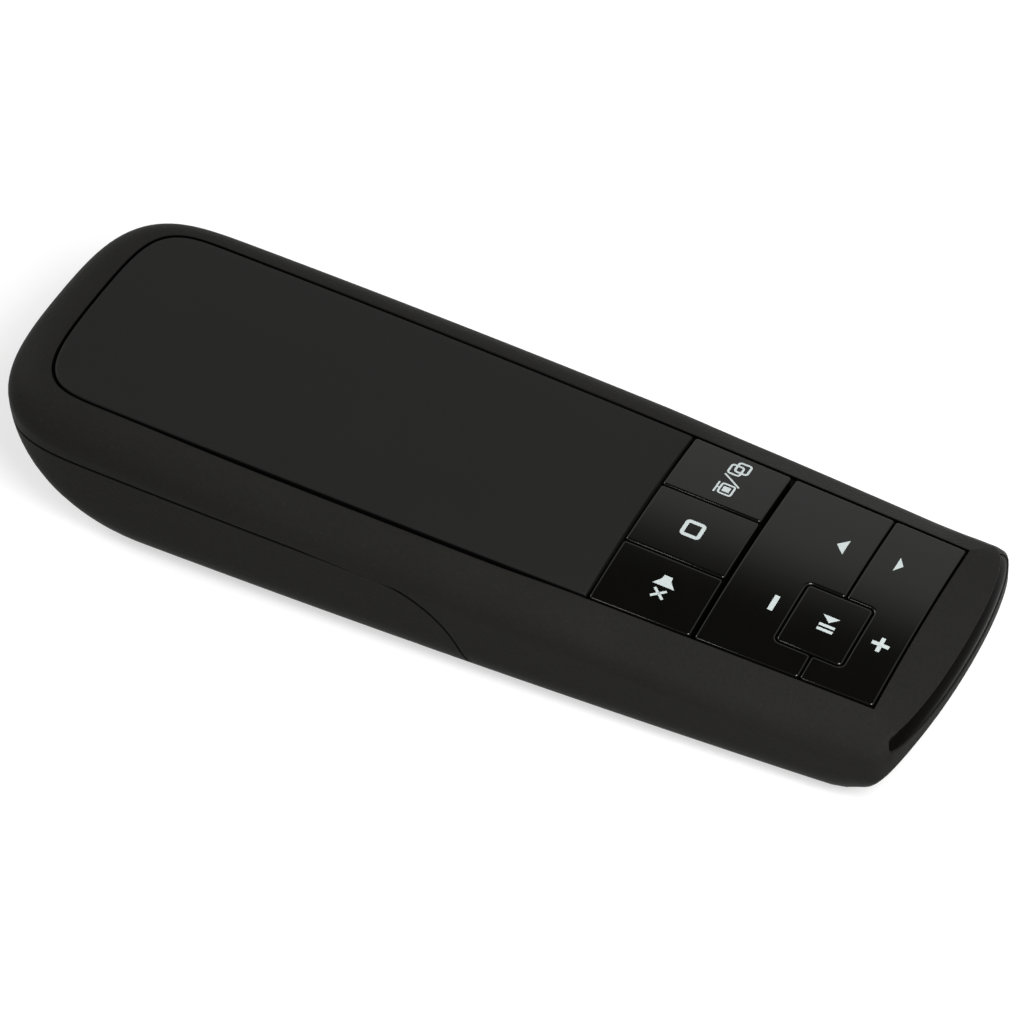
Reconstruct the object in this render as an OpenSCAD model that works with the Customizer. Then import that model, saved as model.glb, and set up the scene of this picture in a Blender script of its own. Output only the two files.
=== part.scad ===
// Wireless presentation clicker, millimetres.
// +X runs to the tip, +Y is the far side, +Z is up, and the flat underside lies on Z = 0.

/* [Housing] */
// Overall length from tail to tip
body_len = 126; // [124:1:130]
// Width at the widest place
body_w = 42; // [41:0.5:44]
// Height of the top over the rear edge of the keys
deck_z = 16.7; // [16.5:0.1:17.5]
// Fall of the key deck towards the tip, degrees
deck_tilt = 4.4; // [4.2:0.1:4.6]
// Crown radius across the top
crown_r = 110; // [100:5:140]
// Wall of the upper housing
wall = 1.8; // [1.6:0.1:2]
// Wall of the battery door and of the underside
thin_wall = 1.6; // [1.4:0.1:1.7]
// Gap between the door and the housing
seam_gap = 0.2; // [0.15:0.05:0.3]

/* [Panel] */
// Depth of the recess that takes the grip panel, at its edge
recess = 1.4; // [1.2:0.1:1.5]
// Gap round the grip panel
panel_gap = 0.2; // [0.15:0.05:0.3]

/* [Keys] */
// Length of the key block
key_block = 37; // [36.5:0.5:37.5]
// Width of the key block at its rear edge
key_w = 30; // [29.5:0.5:30]
// Length of the three rear keys
row_len = 13.4; // [13:0.1:13.6]
// Gap between neighbouring key caps
key_gap = 0.2; // [0.15:0.05:0.25]
// Travel of a key
key_travel = 0.5; // [0.3:0.1:0.6]
// Diameter of the pivot pin under the rocking keys
pivot_d = 1.2; // [1:0.1:1.3]

/* [Power] */
// Length of a cell, with its nub
cell_len = 44.5; // [44.3:0.1:44.6]
// Diameter of a cell
cell_d = 10.5; // [10.2:0.1:10.6]
// Wire of the contact springs
spring_wire = 0.5; // [0.4:0.1:0.7]
// Turns of a contact spring
spring_turns = 4; // [3:1:5]

/* [Receiver] */
// Width of the stored receiver
receiver_w = 12.8; // [12.4:0.2:13]
// Thickness of the stored receiver
receiver_t = 5; // [4.6:0.1:5]

/* [Hidden] */
$fn = 48;

// ---- colours
soft_black = [0.075, 0.075, 0.078];
panel_black = [0.1, 0.1, 0.105];
gloss_black = [0.02, 0.02, 0.022];
smoke = [0.05, 0.05, 0.055];
frame_grey = [0.2, 0.2, 0.21];
rubber_grey = [0.45, 0.46, 0.48];
board_green = [0.05, 0.28, 0.14];
steel = [0.75, 0.76, 0.78];
nickel = [0.82, 0.8, 0.75];

// ---- places along the body
tip_x = body_len / 2;
tail_x = -tip_x;
deck_x = 19.7;
key_end = deck_x + key_block;
arch_r = 5000;
widest_x = -20;
bow_r = 1850;
widest_drop = 4;
tail_len = 18;
tail_pow = 3.65;
nose_len = 2.95;
nose_pow = 3.75;
// bow of the front edge
nose_bow = 2.07;
nose_set = 0.6;

// ---- opening for the panel and the keys
open_tail = tail_x + 6.3;
open_round = 12.2;
open_pow = 4.8;
open_bow = 0.86;
open_taper = 1;

// ---- facets beside the keys
facet_start = 12.8;
facet_full = 28;
facet_rear = 1.95;
facet_tip = 2.6;
facet_drop = 1.55;
lip_edge = 0.7;
// the lip falls away to its corners
lip_fall = 1.96;
lip_pow = 4.9;

// ---- underside
corner_r = 5.6;
sweep_x = -40.5;
sweep_rise = 13.7;
sweep_pow = 2.13;
chin_x = 52.9;
chin_rise = 16;
base_z = 2.2;
seam_z = 12.55;
seam_fall = 0.0307;
door_curve_x = -7.5;
door_end = 6.3;

// ---- stack under the keys, measured down from the deck
cap_face = 1.9;
cap_wall = 1;
key_round = 0.4;
skirt_z = 3.4;
pivot_z = 3.1;
guide_z = 4.4;
guide_t = 1;
plunger_z = 5.9;
nub_z = plunger_z + key_travel + 0.05;
mat_z = 6.7;
board_z = 7.4;
board_t = 1;
dome_t = 0.35;
dome_d = 4.6;
plunger_d = 2.4;

// ---- key block B, along the deck from the rear edge of the keys
b_start = 14;
b_split = 27.45;
play_x = 26.95;
play_y = -5.65;
play_l = 8.5;
play_w = 9.3;
row_y = 5.1;
row_x = 6.9;
pivot_y = 0.6;
hub_r = 1.1;
hub_w = 1.5;
housing_gap = 0.25;
// presses: three rear keys, two on each rocking key, one on the play key
row_presses = [[row_x, 10], [row_x, 0], [row_x, -10]];
back_presses = [[20.5, 9.5], [18.3, -9.5]];
forward_presses = [[33, 9.5], [34.2, -9.5]];
presses = concat(row_presses, back_presses, forward_presses, [[play_x, play_y]]);

// ---- battery bay
cell_y = cell_d / 2 + 0.3;
cell_z = 7.4;
bay_front = 5.8;
contact_t = 0.4;
spring_len = 4.5;
bay_rear = bay_front - 2 * contact_t - cell_len - spring_len;
bay_w = 2 * cell_y + cell_d + 0.6;
bay_wall = 1.2;
bay_top = cell_z + cell_d / 2 + 0.25;
bay_roof = 0.9;
flange_z = 10.5;
flange_t = 1.2;
flange_w = 37;
rail_z = 11.95;
rail_t = 0.65;
screw_x = [-36, -2];
screw_y = 15;
screw_d = 2;
screw_len = 4;
boss_d = 4.6;
board_screw_d = 1.6;
board_screw_at = [[4, 16.8], [33, 15.5]];
tab_r = 1.6;

// ---- receiver pocket, across the tail
pocket_x = -51.8;
pocket_z = 13.8;
plug_w = 12;
plug_t = 4.4;
plug_len = 12;
receiver_len = 6.6;

// ---- resolution of the moulded form
tail_steps = 12;
side_steps = 12;
nose_steps = 9;
shoulder_q = [0, 0.18, 0.36, 0.5, 0.64, 0.78, 0.9, 1];
lower_a = [15, 30, 45, 60, 75, 90];

function lerp(a, b, f) = a + (b - a) * f;
function unit(f) = max(0, min(1, f));
function smooth(f) = let (u = unit(f)) u * u * (3 - 2 * u);

// Height of the crowned top
function top_z(x, y = 0) =
    let (u = x - deck_x)
    deck_z - u * tan(deck_tilt - 0.18) - u * u / (2 * arch_r) - y * y / (2 * crown_r);

// Half width of the body, and of the opening in its top
function half_w(x) = body_w / 2 - pow(x - widest_x, 2) / (2 * bow_r);
function open_w(x) =
    let (u = x - deck_x, half = key_w / 2)
    u < 0 ? half + open_bow * (1 - pow(max(0, 1 + u / 70), 2))
          : half - open_taper * u / key_block;

// Height of the underside: flat, swept up to the tail and rounded up to the tip
function low_z(x) =
    let (s = unit((sweep_x - x) / (sweep_x - tail_x)),
         c = min(0.999, unit((x - chin_x) / (tip_x + 0.3 - chin_x))))
    sweep_rise * pow(s, sweep_pow) + chin_rise * (1 - sqrt(1 - c * c));

function seam(x) = seam_z - seam_fall * x;

// Half outline from tail to tip: body point, opening point, share of the nose, and the
// ways that an inset moves the body point and the opening point
function tail_pt(t) =
    let (c = pow(cos(t), 2 / tail_pow), s = pow(sin(t), 2 / tail_pow),
         oc = pow(cos(t), 2 / open_pow), os = pow(sin(t), 2 / open_pow),
         bx = tail_x + tail_len * (1 - c), ox = open_tail + open_round * (1 - oc))
    [bx, half_w(bx) * s, ox, open_w(ox) * os, 0, c, -s, oc, -os];
side_end = tip_x - nose_bow - nose_len;
function side_pt(f) =
    let (bx = lerp(tail_x + tail_len, side_end, f),
         ox = lerp(open_tail + open_round, key_end, f))
    [bx, half_w(bx), ox, open_w(ox), smooth((bx - 48) / (side_end - 48)),
     -nose_set * smooth((bx - 44) / (side_end - 44)), -1, 0, -1];
function nose_pt(t) =
    let (c = pow(cos(t), 2 / nose_pow), s = pow(sin(t), 2 / nose_pow),
         bx = tip_x - nose_bow * s * s - nose_len * (1 - c))
    [bx, half_w(bx) * s, key_end, open_w(key_end) * s, 1, -lerp(nose_set, 1, c), -s, -c, -s];
outline = concat(
    [for (i = [0:tail_steps]) tail_pt(90 * i / tail_steps)],
    [for (i = [1:side_steps - 1]) side_pt(i / side_steps)],
    [for (i = [0:nose_steps]) nose_pt(90 * (1 - i / nose_steps))]
);
last = len(outline) - 1;

function body_pt(i, inset = 0) =
    let (p = outline[i])
    [p[0] + inset * p[5], i == 0 || i == last ? 0 : p[1] + inset * p[6]];
function open_pt(i, inset = 0) =
    let (p = outline[i]) [p[2] + inset * p[7], p[3] + inset * p[8]];

// Section of the upper housing: share of the way out from the opening, and drop
function rear_section(q) = [sin(90 * q), widest_drop * (1 - cos(90 * q))];
// a flat that falls to its edge, then a roll that is tangent to it and ends upright
function facet_section(q, edge) =
    let (u = unit(2 * q - 1), bend = min(facet_drop / edge, 0.9 * widest_drop))
    q < 0.5 ? [edge, facet_drop] * 2 * q
            : pow(1 - u, 2) * [edge, facet_drop] + 2 * u * (1 - u) * [1, bend] + u * u * [1, widest_drop];
function to_corner(y) = pow(abs(y) / (body_w / 2), lip_pow);
function lip_drop(y) = lip_fall * to_corner(y);
function lip_back(y) = lerp(lip_edge, facet_tip, to_corner(y));
function nose_section(q, edge, fall) =
    q < 0.5 ? [edge, fall] * 2 * q
            : let (u = 2 * q - 1)
              [lerp(edge, 1, sin(min(90, 180 * u))), fall + widest_drop * u];

function section(i, q) =
    let (span = norm(body_pt(i) - open_pt(i)), x = outline[i][0], y = outline[i][1],
         edge = lerp(facet_rear, facet_tip, unit((x - facet_full) / (side_end - facet_full))),
         facet = facet_section(q, 1 - edge / span),
         side = lerp(rear_section(q), facet, smooth((x - facet_start) / (facet_full - facet_start))))
    lerp(side, nose_section(q, 1 - lip_back(y) / span, lip_drop(y)), outline[i][4]);

function upper_pt(i, q) =
    let (s = section(i, q), c = lerp(open_pt(i), body_pt(i), s[0]))
    [c[0], i == 0 || i == last ? 0 : c[1], top_z(c[0], c[1]) - s[1]];

// The lower half, from the widest line down round the corner to the underside
function lower_pt(i, a, widest, inset, floor_t) =
    let (c = body_pt(i, inset + max(0, corner_r - inset) * (1 - cos(a))),
         low = low_z(c[0]) + floor_t,
         h = max(0.02, widest[2] - low))
    [c[0], c[1], min(widest[2], low + h * min(1, corner_r / h) * (1 - sin(a)))];

// Floor of the recess, level across the body
function floor_z(x) = top_z(x, open_w(x)) - recess;

outer_rings = concat(
    // floor of the recess in the top
    [[for (i = [0:last]) let (o = open_pt(i))
        [o[0], i == 0 || i == last ? 0 : o[1], top_z(o[0], o[1]) - recess]]],
    [for (q = shoulder_q) [for (i = [0:last]) upper_pt(i, q)]],
    [for (a = lower_a) [for (i = [0:last]) lower_pt(i, a, upper_pt(i, 1), 0, 0)]]
);

// The hollow inside the housing
roof = recess + 1.2;
function hollow_pt(i, f, drop) =
    let (c = lerp(open_pt(i), body_pt(i, wall), f))
    [c[0], i == 0 || i == last ? 0 : c[1], top_z(c[0], c[1]) - drop];
inner_rings = concat(
    [for (s = [[0, roof], [0.6, roof + 0.4], [1, widest_drop + 1]])
        [for (i = [0:last]) hollow_pt(i, s[0], s[1])]],
    [for (a = [30, 60, 90])
        [for (i = [0:last])
            lower_pt(i, a, hollow_pt(i, 1, widest_drop + 1), wall, thin_wall)]]
);

// Closed solid through rings of half outlines, mirrored to the other side
module ring_loft(rings) {
    m = len(rings[0]);
    n = 2 * m - 2;
    function whole(r) = concat(r, [for (i = [m - 2:-1:1]) [r[i][0], -r[i][1], r[i][2]]]);
    points = [for (r = rings) each whole(r)];
    sides = [for (k = [0:len(rings) - 2]) for (i = [0:n - 1])
        let (j = (i + 1) % n, a = k * n + i, b = k * n + j)
        each [[a, b + n, b], [a, a + n, b + n]]];
    function strip(base) = [for (i = [0:m - 2])
        let (a = base + i, b = base + i + 1,
             a2 = base + (n - i) % n, b2 = base + n - i - 1)
        each i == 0 ? [[a, b, b2]] : i == m - 2 ? [[a, b, a2]] : [[a, b, b2], [a, b2, a2]]];
    foot = [for (f = strip((len(rings) - 1) * n)) [f[2], f[1], f[0]]];
    polyhedron(points, concat(sides, strip(0), foot), convexity = 6);
}

module on_deck() {
    translate([deck_x, 0, deck_z]) rotate([0, deck_tilt, 0]) children();
}
module both_sides() {
    children();
    mirror([0, 1, 0]) children();
}
module post(x, y, d, low, high) {
    translate([x, y, low]) cylinder(d = d, h = high - low);
}
module block(x0, x1, y0, y1, z0, z1) {
    translate([x0, y0, z0]) cube([x1 - x0, y1 - y0, z1 - z0]);
}

// Side view of the room that the door and its seam take, at a given clearance
module door_room(gap) {
    curve = [for (a = [90:-7.5:0])
        [door_curve_x + gap + (door_end - door_curve_x) * cos(a),
         (seam(door_curve_x) + gap) * sin(a)]];
    rotate([90, 0, 0])
        linear_extrude(2 * body_w, center = true)
            polygon(concat([[tail_x - 20, -5], [tail_x - 20, seam(tail_x - 20) + gap]],
                           curve, [[door_end + gap, -5]]));
}

// Strip of the front window: follows the tip of the housing, under the lip
window_lip = 0.2;
window_h = 3.3;
window_depth = 1.6;
window_set = 0.12;
window_steps = 6;
function window_pt(i, inset, drop) =
    let (y = outline[i][1], edge = 1 - lip_back(y) / norm(body_pt(i) - open_pt(i)),
         c = lerp(open_pt(i, inset), body_pt(i, inset), nose_section(0.5 + drop / widest_drop / 2, edge, 0)[0]))
    [c[0], i == last ? 0 : c[1], top_z(c[0], c[1]) - lip_drop(y) - drop];
module window_strip(front, back, grow) {
    low = window_lip + window_h + grow;
    half = [for (i = [last - window_steps:last])
        concat([for (d = [window_lip - grow, 0.8, 1.6, low]) window_pt(i, front, d)],
               [for (d = [low, window_lip - grow]) window_pt(i, back, d)])];
    n = len(half[0]);
    // the slot reaches a little past the ends of the window
    end = [for (k = [0:n - 1]) lerp(half[0][k], half[1][k], grow > 0 ? 0 : 0.07)];
    rows = concat([end], [for (k = [1:window_steps]) half[k]]);
    points = concat([for (row = rows) each [for (p = row) [p[0], -p[1], p[2]]]],
                    [for (k = [window_steps - 1:-1:0]) each rows[k]]);
    sides = [for (k = [0:2 * window_steps - 1]) for (i = [0:n - 1])
        let (j = (i + 1) % n, a = k * n + i, b = k * n + j)
        each [[a, b + n, b], [a, a + n, b + n]]];
    polyhedron(points, concat(sides, [[for (i = [0:n - 1]) i]],
                              [[for (i = [n - 1:-1:0]) 2 * window_steps * n + i]]));
}

// Room for the keys, through the floor of the recess
module key_well() {
    grow = 0.05;
    rear = open_w(deck_x) + grow;
    front = open_w(key_end) + grow;
    on_deck() translate([0, 0, -6]) linear_extrude(5)
        polygon([[0, -rear], [key_block + grow, -front], [key_block + grow, front], [0, rear]]);
}

// ---- housing
module top_shell() color(soft_black) {
    difference() {
        union() {
            difference() {
                ring_loft(outer_rings);
                ring_loft(inner_rings);
            }
            for (x = screw_x) both_sides()
                post(x, screw_y, boss_d, flange_z + flange_t, floor_z(x) - 0.6);
            on_deck() for (p = board_screw_at) both_sides()
                post(p[0], p[1], 2 * tab_r, -board_z, -4);
        }
        key_well();
        door_room(seam_gap / 2);
        // the underside closes here
        block(door_end - 3, tip_x + 1, -body_w, body_w, -1, base_z);
        // slot for the window, open behind it for the light
        window_strip(-1, window_depth + 0.1, 0.08);
        block(tip_x - 5, tip_x - 1.5, -1.5, 1.5, top_z(tip_x) - 3.6, top_z(tip_x) - 2.2);
        for (x = screw_x) both_sides()
            post(x, screw_y, screw_d + 0.1, flange_z, flange_z + screw_len);
        on_deck() for (p = board_screw_at) both_sides()
            post(p[0], p[1], board_screw_d + 0.1, -board_z - 1, -board_z + 3.2);
        for (p = peg_places) post(p[0], p[1], peg_d + 0.2, floor_z(p[0]) - 4, floor_z(p[0]) + 4);
    }
}

peg_d = 3;
peg_places = [[-48, 8], [-48, -8], [-20, 8], [-20, -8], [8, 8], [8, -8]];
panel_end = deck_x - panel_gap;
function panel_ease(x, f) = abs(f) == 1 || x > panel_end - 0.05 ? 0.22 : 0;

module grip_panel() color(panel_black) {
    // rows across the panel: crowned on top, flat underneath, edges eased
    rows = concat([for (i = [1:last]) if (outline[i][2] < panel_end - 0.5) open_pt(i, panel_gap)],
                  [[panel_end, open_w(panel_end) - panel_gap]]);
    cols = [-1, -0.985, -0.7, -0.35, 0, 0.35, 0.7, 0.985, 1];
    n = len(cols) + 2;
    points = [for (r = rows)
        let (z = top_z(r[0], r[1]) - recess + 0.06)
        each concat([for (f = cols) [r[0], r[1] * f, top_z(r[0], r[1] * f) - panel_ease(r[0], f)]],
                    [[r[0], r[1], z], [r[0], -r[1], z]])];
    sides = [for (k = [0:len(rows) - 2]) for (i = [0:n - 1])
        let (j = (i + 1) % n, a = k * n + i, b = k * n + j)
        each [[a, b, b + n], [a, b + n, a + n]]];
    base = (len(rows) - 1) * n;
    polyhedron(points, concat(sides, [[for (i = [n - 1:-1:0]) i]], [[for (i = [0:n - 1]) base + i]]));
    for (p = peg_places) post(p[0], p[1], peg_d, floor_z(p[0]) - 1.1, floor_z(p[0]) + 0.3);
}

module front_window() color(smoke) {
    window_strip(window_set, window_depth, 0);
}

module base_shell() color(soft_black) {
    hull_x = bay_front + bay_wall + 1.2;
    half = bay_w / 2 + bay_wall;
    difference() {
        union() {
            difference() {
                intersection() {
                    ring_loft(outer_rings);
                    block(-10, tip_x + 1, -body_w, body_w, -1, base_z - 0.1);
                }
                difference() {
                    ring_loft(inner_rings);
                    block(bay_front, hull_x + 1, -body_w, body_w, -1, 4);
                }
                door_room(-seam_gap / 2);
            }
            // walls, roof and flanges of the battery bay
            difference() {
                union() {
                    block(bay_rear - bay_wall, bay_front + bay_wall, -half, half, base_z + 0.4, bay_top + bay_roof);
                    block(door_end + 0.4, hull_x, -half, half, 1, bay_top + bay_roof);
                    block(bay_rear - bay_wall, bay_front + bay_wall,
                          -flange_w / 2, flange_w / 2, flange_z, flange_z + flange_t);
                }
                block(bay_rear, bay_front, -bay_w / 2, bay_w / 2, 0, bay_top);
            }
            // ribs that shape the cradle over the cells
            for (x = [bay_rear + 8, bay_rear + 24, bay_rear + 40])
                block(x, x + 1.2, -bay_w / 2 - 0.3, bay_w / 2 + 0.3, bay_top - 3, bay_top + 0.3);
            receiver_pocket();
            // posts under the circuit board
            for (x = [24, 46]) both_sides()
                post(x, 8, 3, 1, top_z(x) - board_z - board_t - 0.6);
        }
        both_sides() translate([bay_rear, cell_y, cell_z]) rotate([0, 90, 0])
            cylinder(d = cell_d + 0.5, h = bay_front - bay_rear);
        // slot for the door's catch
        block(door_end - 2, hull_x + 1, -catch_w / 2 - 0.4, catch_w / 2 + 0.4, thin_wall - 0.2, thin_wall + 1.4);
        for (x = screw_x) both_sides()
            post(x, screw_y, screw_d + 0.3, flange_z - 1, flange_z + flange_t + 1);
    }
}

module receiver_pocket() {
    w = receiver_w / 2 + 0.2;
    l = (plug_len + receiver_len) / 2 + 0.3;
    z = pocket_z - receiver_t / 2;
    difference() {
        block(pocket_x - w - 0.8, bay_rear - bay_wall / 2, -l - 1, l + 1, z + 1.1, z + receiver_t + 0.7);
        block(pocket_x - w, pocket_x + w, -l, l, 0, z + receiver_t + 0.2);
    }
}

catch_w = 5;
module battery_door() color(soft_black) {
    intersection() {
        difference() {
            ring_loft(outer_rings);
            ring_loft(inner_rings);
        }
        door_room(-seam_gap / 2);
    }
    // rails that run over the flanges of the battery bay
    both_sides() block(-38, -12, flange_w / 2 - 0.6, half_w(-38) - thin_wall + 0.4, rail_z, rail_z + rail_t);
    // catch at the front edge
    block(door_end - 4, door_end + 2, -catch_w / 2, catch_w / 2, thin_wall - 0.05, thin_wall + 0.5);
}

// ---- keys
function heading(a) = [cos(a), sin(a)];
// Cap with a crowned top and a hollow beneath. low and high are the Y of its near and
// far edges, at x0 and at x1
module cap(x0, x1, low, high) {
    module plan(t) {
        corners = [[x1 - t, high[1] - t, 0], [x0 + t, high[0] - t, 90],
                   [x0 + t, low[0] + t, 180], [x1 - t, low[1] + t, 270]];
        polygon([for (c = corners) for (a = [0:30:90])
            [c[0], c[1]] + key_round * (heading(c[2] + a) - sqrt(2) * heading(c[2] + 45))]);
    }
    difference() {
        intersection() {
            translate([0, 0, -skirt_z]) linear_extrude(skirt_z + 1) plan(0);
            crown();
        }
        translate([0, 0, -skirt_z - 1]) linear_extrude(skirt_z + 1 - cap_face) plan(cap_wall);
    }
}
module crown() {
    translate([-5, 0, -crown_r]) rotate([0, 90, 0]) cylinder(r = crown_r, h = key_block + 10, $fn = 360);
}
module plunger(p) {
    post(p[0], p[1], plunger_d, -plunger_z, -cap_face + 0.2);
}
function edge_y(x) = open_w(deck_x + x) - housing_gap;

module row_key(low, high, press) {
    cap(0.2, row_len, low, high);
    plunger(press);
}
row_edge = [edge_y(0.2), edge_y(row_len)];
split = [row_y, row_y] - [key_gap, key_gap] / 2;
module screen_switch_key() color(gloss_black) on_deck()
    row_key(split + [key_gap, key_gap], row_edge, row_presses[0]);
module blank_screen_key() color(gloss_black) on_deck()
    row_key(-split, split, row_presses[1]);
module mute_key() color(gloss_black) on_deck()
    row_key(-row_edge, -split - [key_gap, key_gap], row_presses[2]);

// Rocking key: a broad cap with a corner cut out for the play key, on two hubs
module rocker(x0, x1, hubs, sites) {
    edges = [edge_y(x0), edge_y(x1)];
    difference() {
        union() {
            cap(x0, x1, -edges, edges);
            // wall round the play key
            intersection() {
                play_prism(cap_wall + key_gap);
                block(x0, x1, -edges[1], edges[1], -skirt_z, -cap_face + 0.3);
            }
            for (x = hubs) {
                translate([x, pivot_y, -pivot_z]) rotate([0, 90, 0]) cylinder(r = hub_r, h = hub_w);
                block(x, x + hub_w, pivot_y - hub_r, pivot_y + hub_r, -pivot_z, -cap_face + 0.3);
            }
            for (p = sites) plunger(p);
        }
        play_prism(key_gap);
        // the guide's middle ear stands under the joint of the two keys
        block(b_split - 2.1, b_split + 2.1, pivot_y - 1.5, pivot_y + 1.5, -skirt_z - 1, -cap_face);
        translate([x0 - 1, pivot_y, -pivot_z]) rotate([0, 90, 0])
            cylinder(d = pivot_d + 0.1, h = x1 - x0 + 2);
    }
}
module play_prism(grow) {
    block(play_x - play_l / 2 - grow, play_x + play_l / 2 + grow,
          play_y - play_w / 2 - grow, play_y + play_w / 2 + grow, -8, 4);
}
module back_rocker() color(gloss_black) on_deck()
    rocker(b_start, b_split - key_gap / 2, [18.6, 23.6], back_presses);
module forward_rocker() color(gloss_black) on_deck()
    rocker(b_split + key_gap / 2, key_block - 0.1, [29.7, 32.2], forward_presses);
module play_key() color(gloss_black) on_deck() {
    low = [play_y - play_w / 2, play_y - play_w / 2];
    cap(play_x - play_l / 2, play_x + play_l / 2, low, low + [play_w, play_w]);
    plunger([play_x, play_y]);
}
module pivot_pin() color(steel) on_deck()
    translate([ear_x[0], pivot_y, -pivot_z]) rotate([0, 90, 0])
        cylinder(d = pivot_d, h = ear_x[2] + ear_t - ear_x[0]);

// ---- under the keys
ear_x = [16.4, b_split - 0.75, 34];
ear_t = 1.5;
leg_y = 14;
module key_guide() color(frame_grey) on_deck() difference() {
    union() {
        block(-8.5, 37, -15, 15, -guide_z - guide_t, -guide_z);
        // ears that carry the pivot pin
        for (x = ear_x) {
            translate([x, pivot_y, -pivot_z]) rotate([0, 90, 0]) cylinder(r = 1, h = ear_t);
            block(x, x + ear_t, pivot_y - 1, pivot_y + 1, -guide_z - 0.1, -pivot_z);
        }
        // legs down to the board
        for (x = [-5, 12, 24]) both_sides() post(x, leg_y, 1.2, -board_z, -guide_z - 0.5);
        post(-5, 0, 2.4, -board_z, -guide_z - 0.5);
    }
    for (p = presses) post(p[0], p[1], plunger_d + 0.6, -guide_z - 2, -guide_z + 1);
    for (p = board_screw_at) both_sides() post(p[0], p[1], 2 * tab_r + 0.4, -guide_z - 2, -guide_z + 1);
    translate([15, pivot_y, -pivot_z]) rotate([0, 90, 0]) cylinder(d = pivot_d + 0.02, h = 24);
}

module key_mat() color(rubber_grey) on_deck() difference() {
    union() {
        block(2, 35.1, -13.2, 13.2, -board_z, -mat_z);
        for (p = presses) post(p[0], p[1], 2.6, -mat_z - 0.1, -nub_z);
    }
    for (p = presses) post(p[0], p[1], dome_d + 0.8, -board_z - 1, -board_z + dome_t + 0.1);
}

module circuit_board() color(board_green) on_deck() difference() {
    union() {
        block(-8.6, 37, -14.6, 14.6, -board_z - board_t, -board_z);
        for (p = board_screw_at) both_sides() {
            post(p[0], p[1], 2 * tab_r, -board_z - board_t, -board_z);
            block(p[0] - tab_r, p[0] + tab_r, 14, p[1], -board_z - board_t, -board_z);
        }
    }
    for (p = board_screw_at) both_sides()
        post(p[0], p[1], board_screw_d + 0.3, -board_z - board_t - 1, -board_z + 1);
}

// Snap domes, one under each press
module dome_switches() color(nickel) on_deck() for (p = presses)
    translate([p[0], p[1], -board_z]) {
        cylinder(d1 = dome_d, d2 = dome_d - 1, h = 0.2);
        translate([0, 0, 0.2]) cylinder(d1 = dome_d - 1, d2 = dome_d / 2, h = dome_t - 0.2);
    }

// Parts soldered under the board
module under_board(x, y, l, w, h) {
    translate([x - l / 2, y - w / 2, -board_z - board_t - h]) cube([l, w, h]);
}
module chip(x, y, l, w, h, pins) {
    under_board(x, y, l, w, h);
    pitch = l / (pins + 1);
    translate([0, y, 0]) both_sides() for (i = [1:pins])
        translate([x - l / 2 + i * pitch - 0.15, w / 2, -board_z - board_t - 0.3]) cube([0.3, 0.6, 0.3]);
}
module controller_chip() color(soft_black) on_deck() chip(8, 3, 6, 5, 1, 7);
module radio_chip() color(soft_black) on_deck() chip(24, -3, 4.6, 4.6, 0.8, 5);
module crystal() color(steel) on_deck() under_board(24, 3.4, 3.2, 2.5, 0.7);
module status_led() color([0.8, 0.9, 0.8]) on_deck()
    translate([36.2, 0, -board_z]) {
        translate([-0.8, -0.6, 0]) cube([1.6, 1.2, 0.5]);
        translate([0, 0, 0.5]) cylinder(d = 1, h = 0.5);
    }

// ---- power
// Cell along X, its nub at the far end of the direction dir
module cell(x, y, dir) {
    translate([x, y, cell_z]) rotate([0, 90 * dir, 0]) {
        translate([0, 0, -cell_len / 2]) cylinder(d = cell_d, h = cell_len - 1);
        translate([0, 0, cell_len / 2 - 1.2]) cylinder(d = 3.8, h = 1.2);
    }
}
rear_face = bay_rear + contact_t;
front_face = bay_front - contact_t;
module cell_left() color([0.16, 0.3, 0.26]) cell(front_face - cell_len / 2, cell_y, 1);
module cell_right() color([0.16, 0.3, 0.26]) cell(rear_face + cell_len / 2, -cell_y, -1);

// Conical spring swept along a helix, from x = 0 to x = len, on the X axis
module coil_spring(len, r0, r1) {
    steps = 14 * spring_turns;
    corners = 6;
    w = spring_wire / 2;
    points = [for (i = [0:steps])
        let (f = i / steps, a = 360 * spring_turns * f, r = lerp(r0, r1, f), x = lerp(w, len - w, f))
        for (k = [0:corners - 1])
            let (b = 360 * k / corners, d = r + w * cos(b))
            [x + w * sin(b), d * cos(a), d * sin(a)]];
    sides = [for (i = [0:steps - 1]) for (k = [0:corners - 1])
        let (a = i * corners + k, b = i * corners + (k + 1) % corners)
        each [[a, b, b + corners], [a, b + corners, a + corners]]];
    polyhedron(points, concat(sides, [[for (k = [corners - 1:-1:0]) k]],
                              [[for (k = [0:corners - 1]) steps * corners + k]]));
}
module contact_plate(x, y) {
    block(x, x + contact_t, y - 3.6, y + 3.6, cell_z - 3.6, cell_z + 3.6);
}
module bridge_contact() color(nickel) {
    block(bay_rear, rear_face, -cell_y - 3.6, cell_y + 3.6, cell_z - 2.5, cell_z + 3.6);
    translate([rear_face - 0.1, cell_y, cell_z]) coil_spring(spring_len + 0.1, 3.2, 2.2);
}
module minus_contact() color(nickel) {
    contact_plate(front_face, -cell_y);
    translate([front_face + 0.1, -cell_y, cell_z]) mirror([1, 0, 0]) coil_spring(spring_len + 0.1, 3.2, 2.2);
}
module plus_contact() color(nickel) {
    contact_plate(front_face, cell_y);
}

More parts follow.
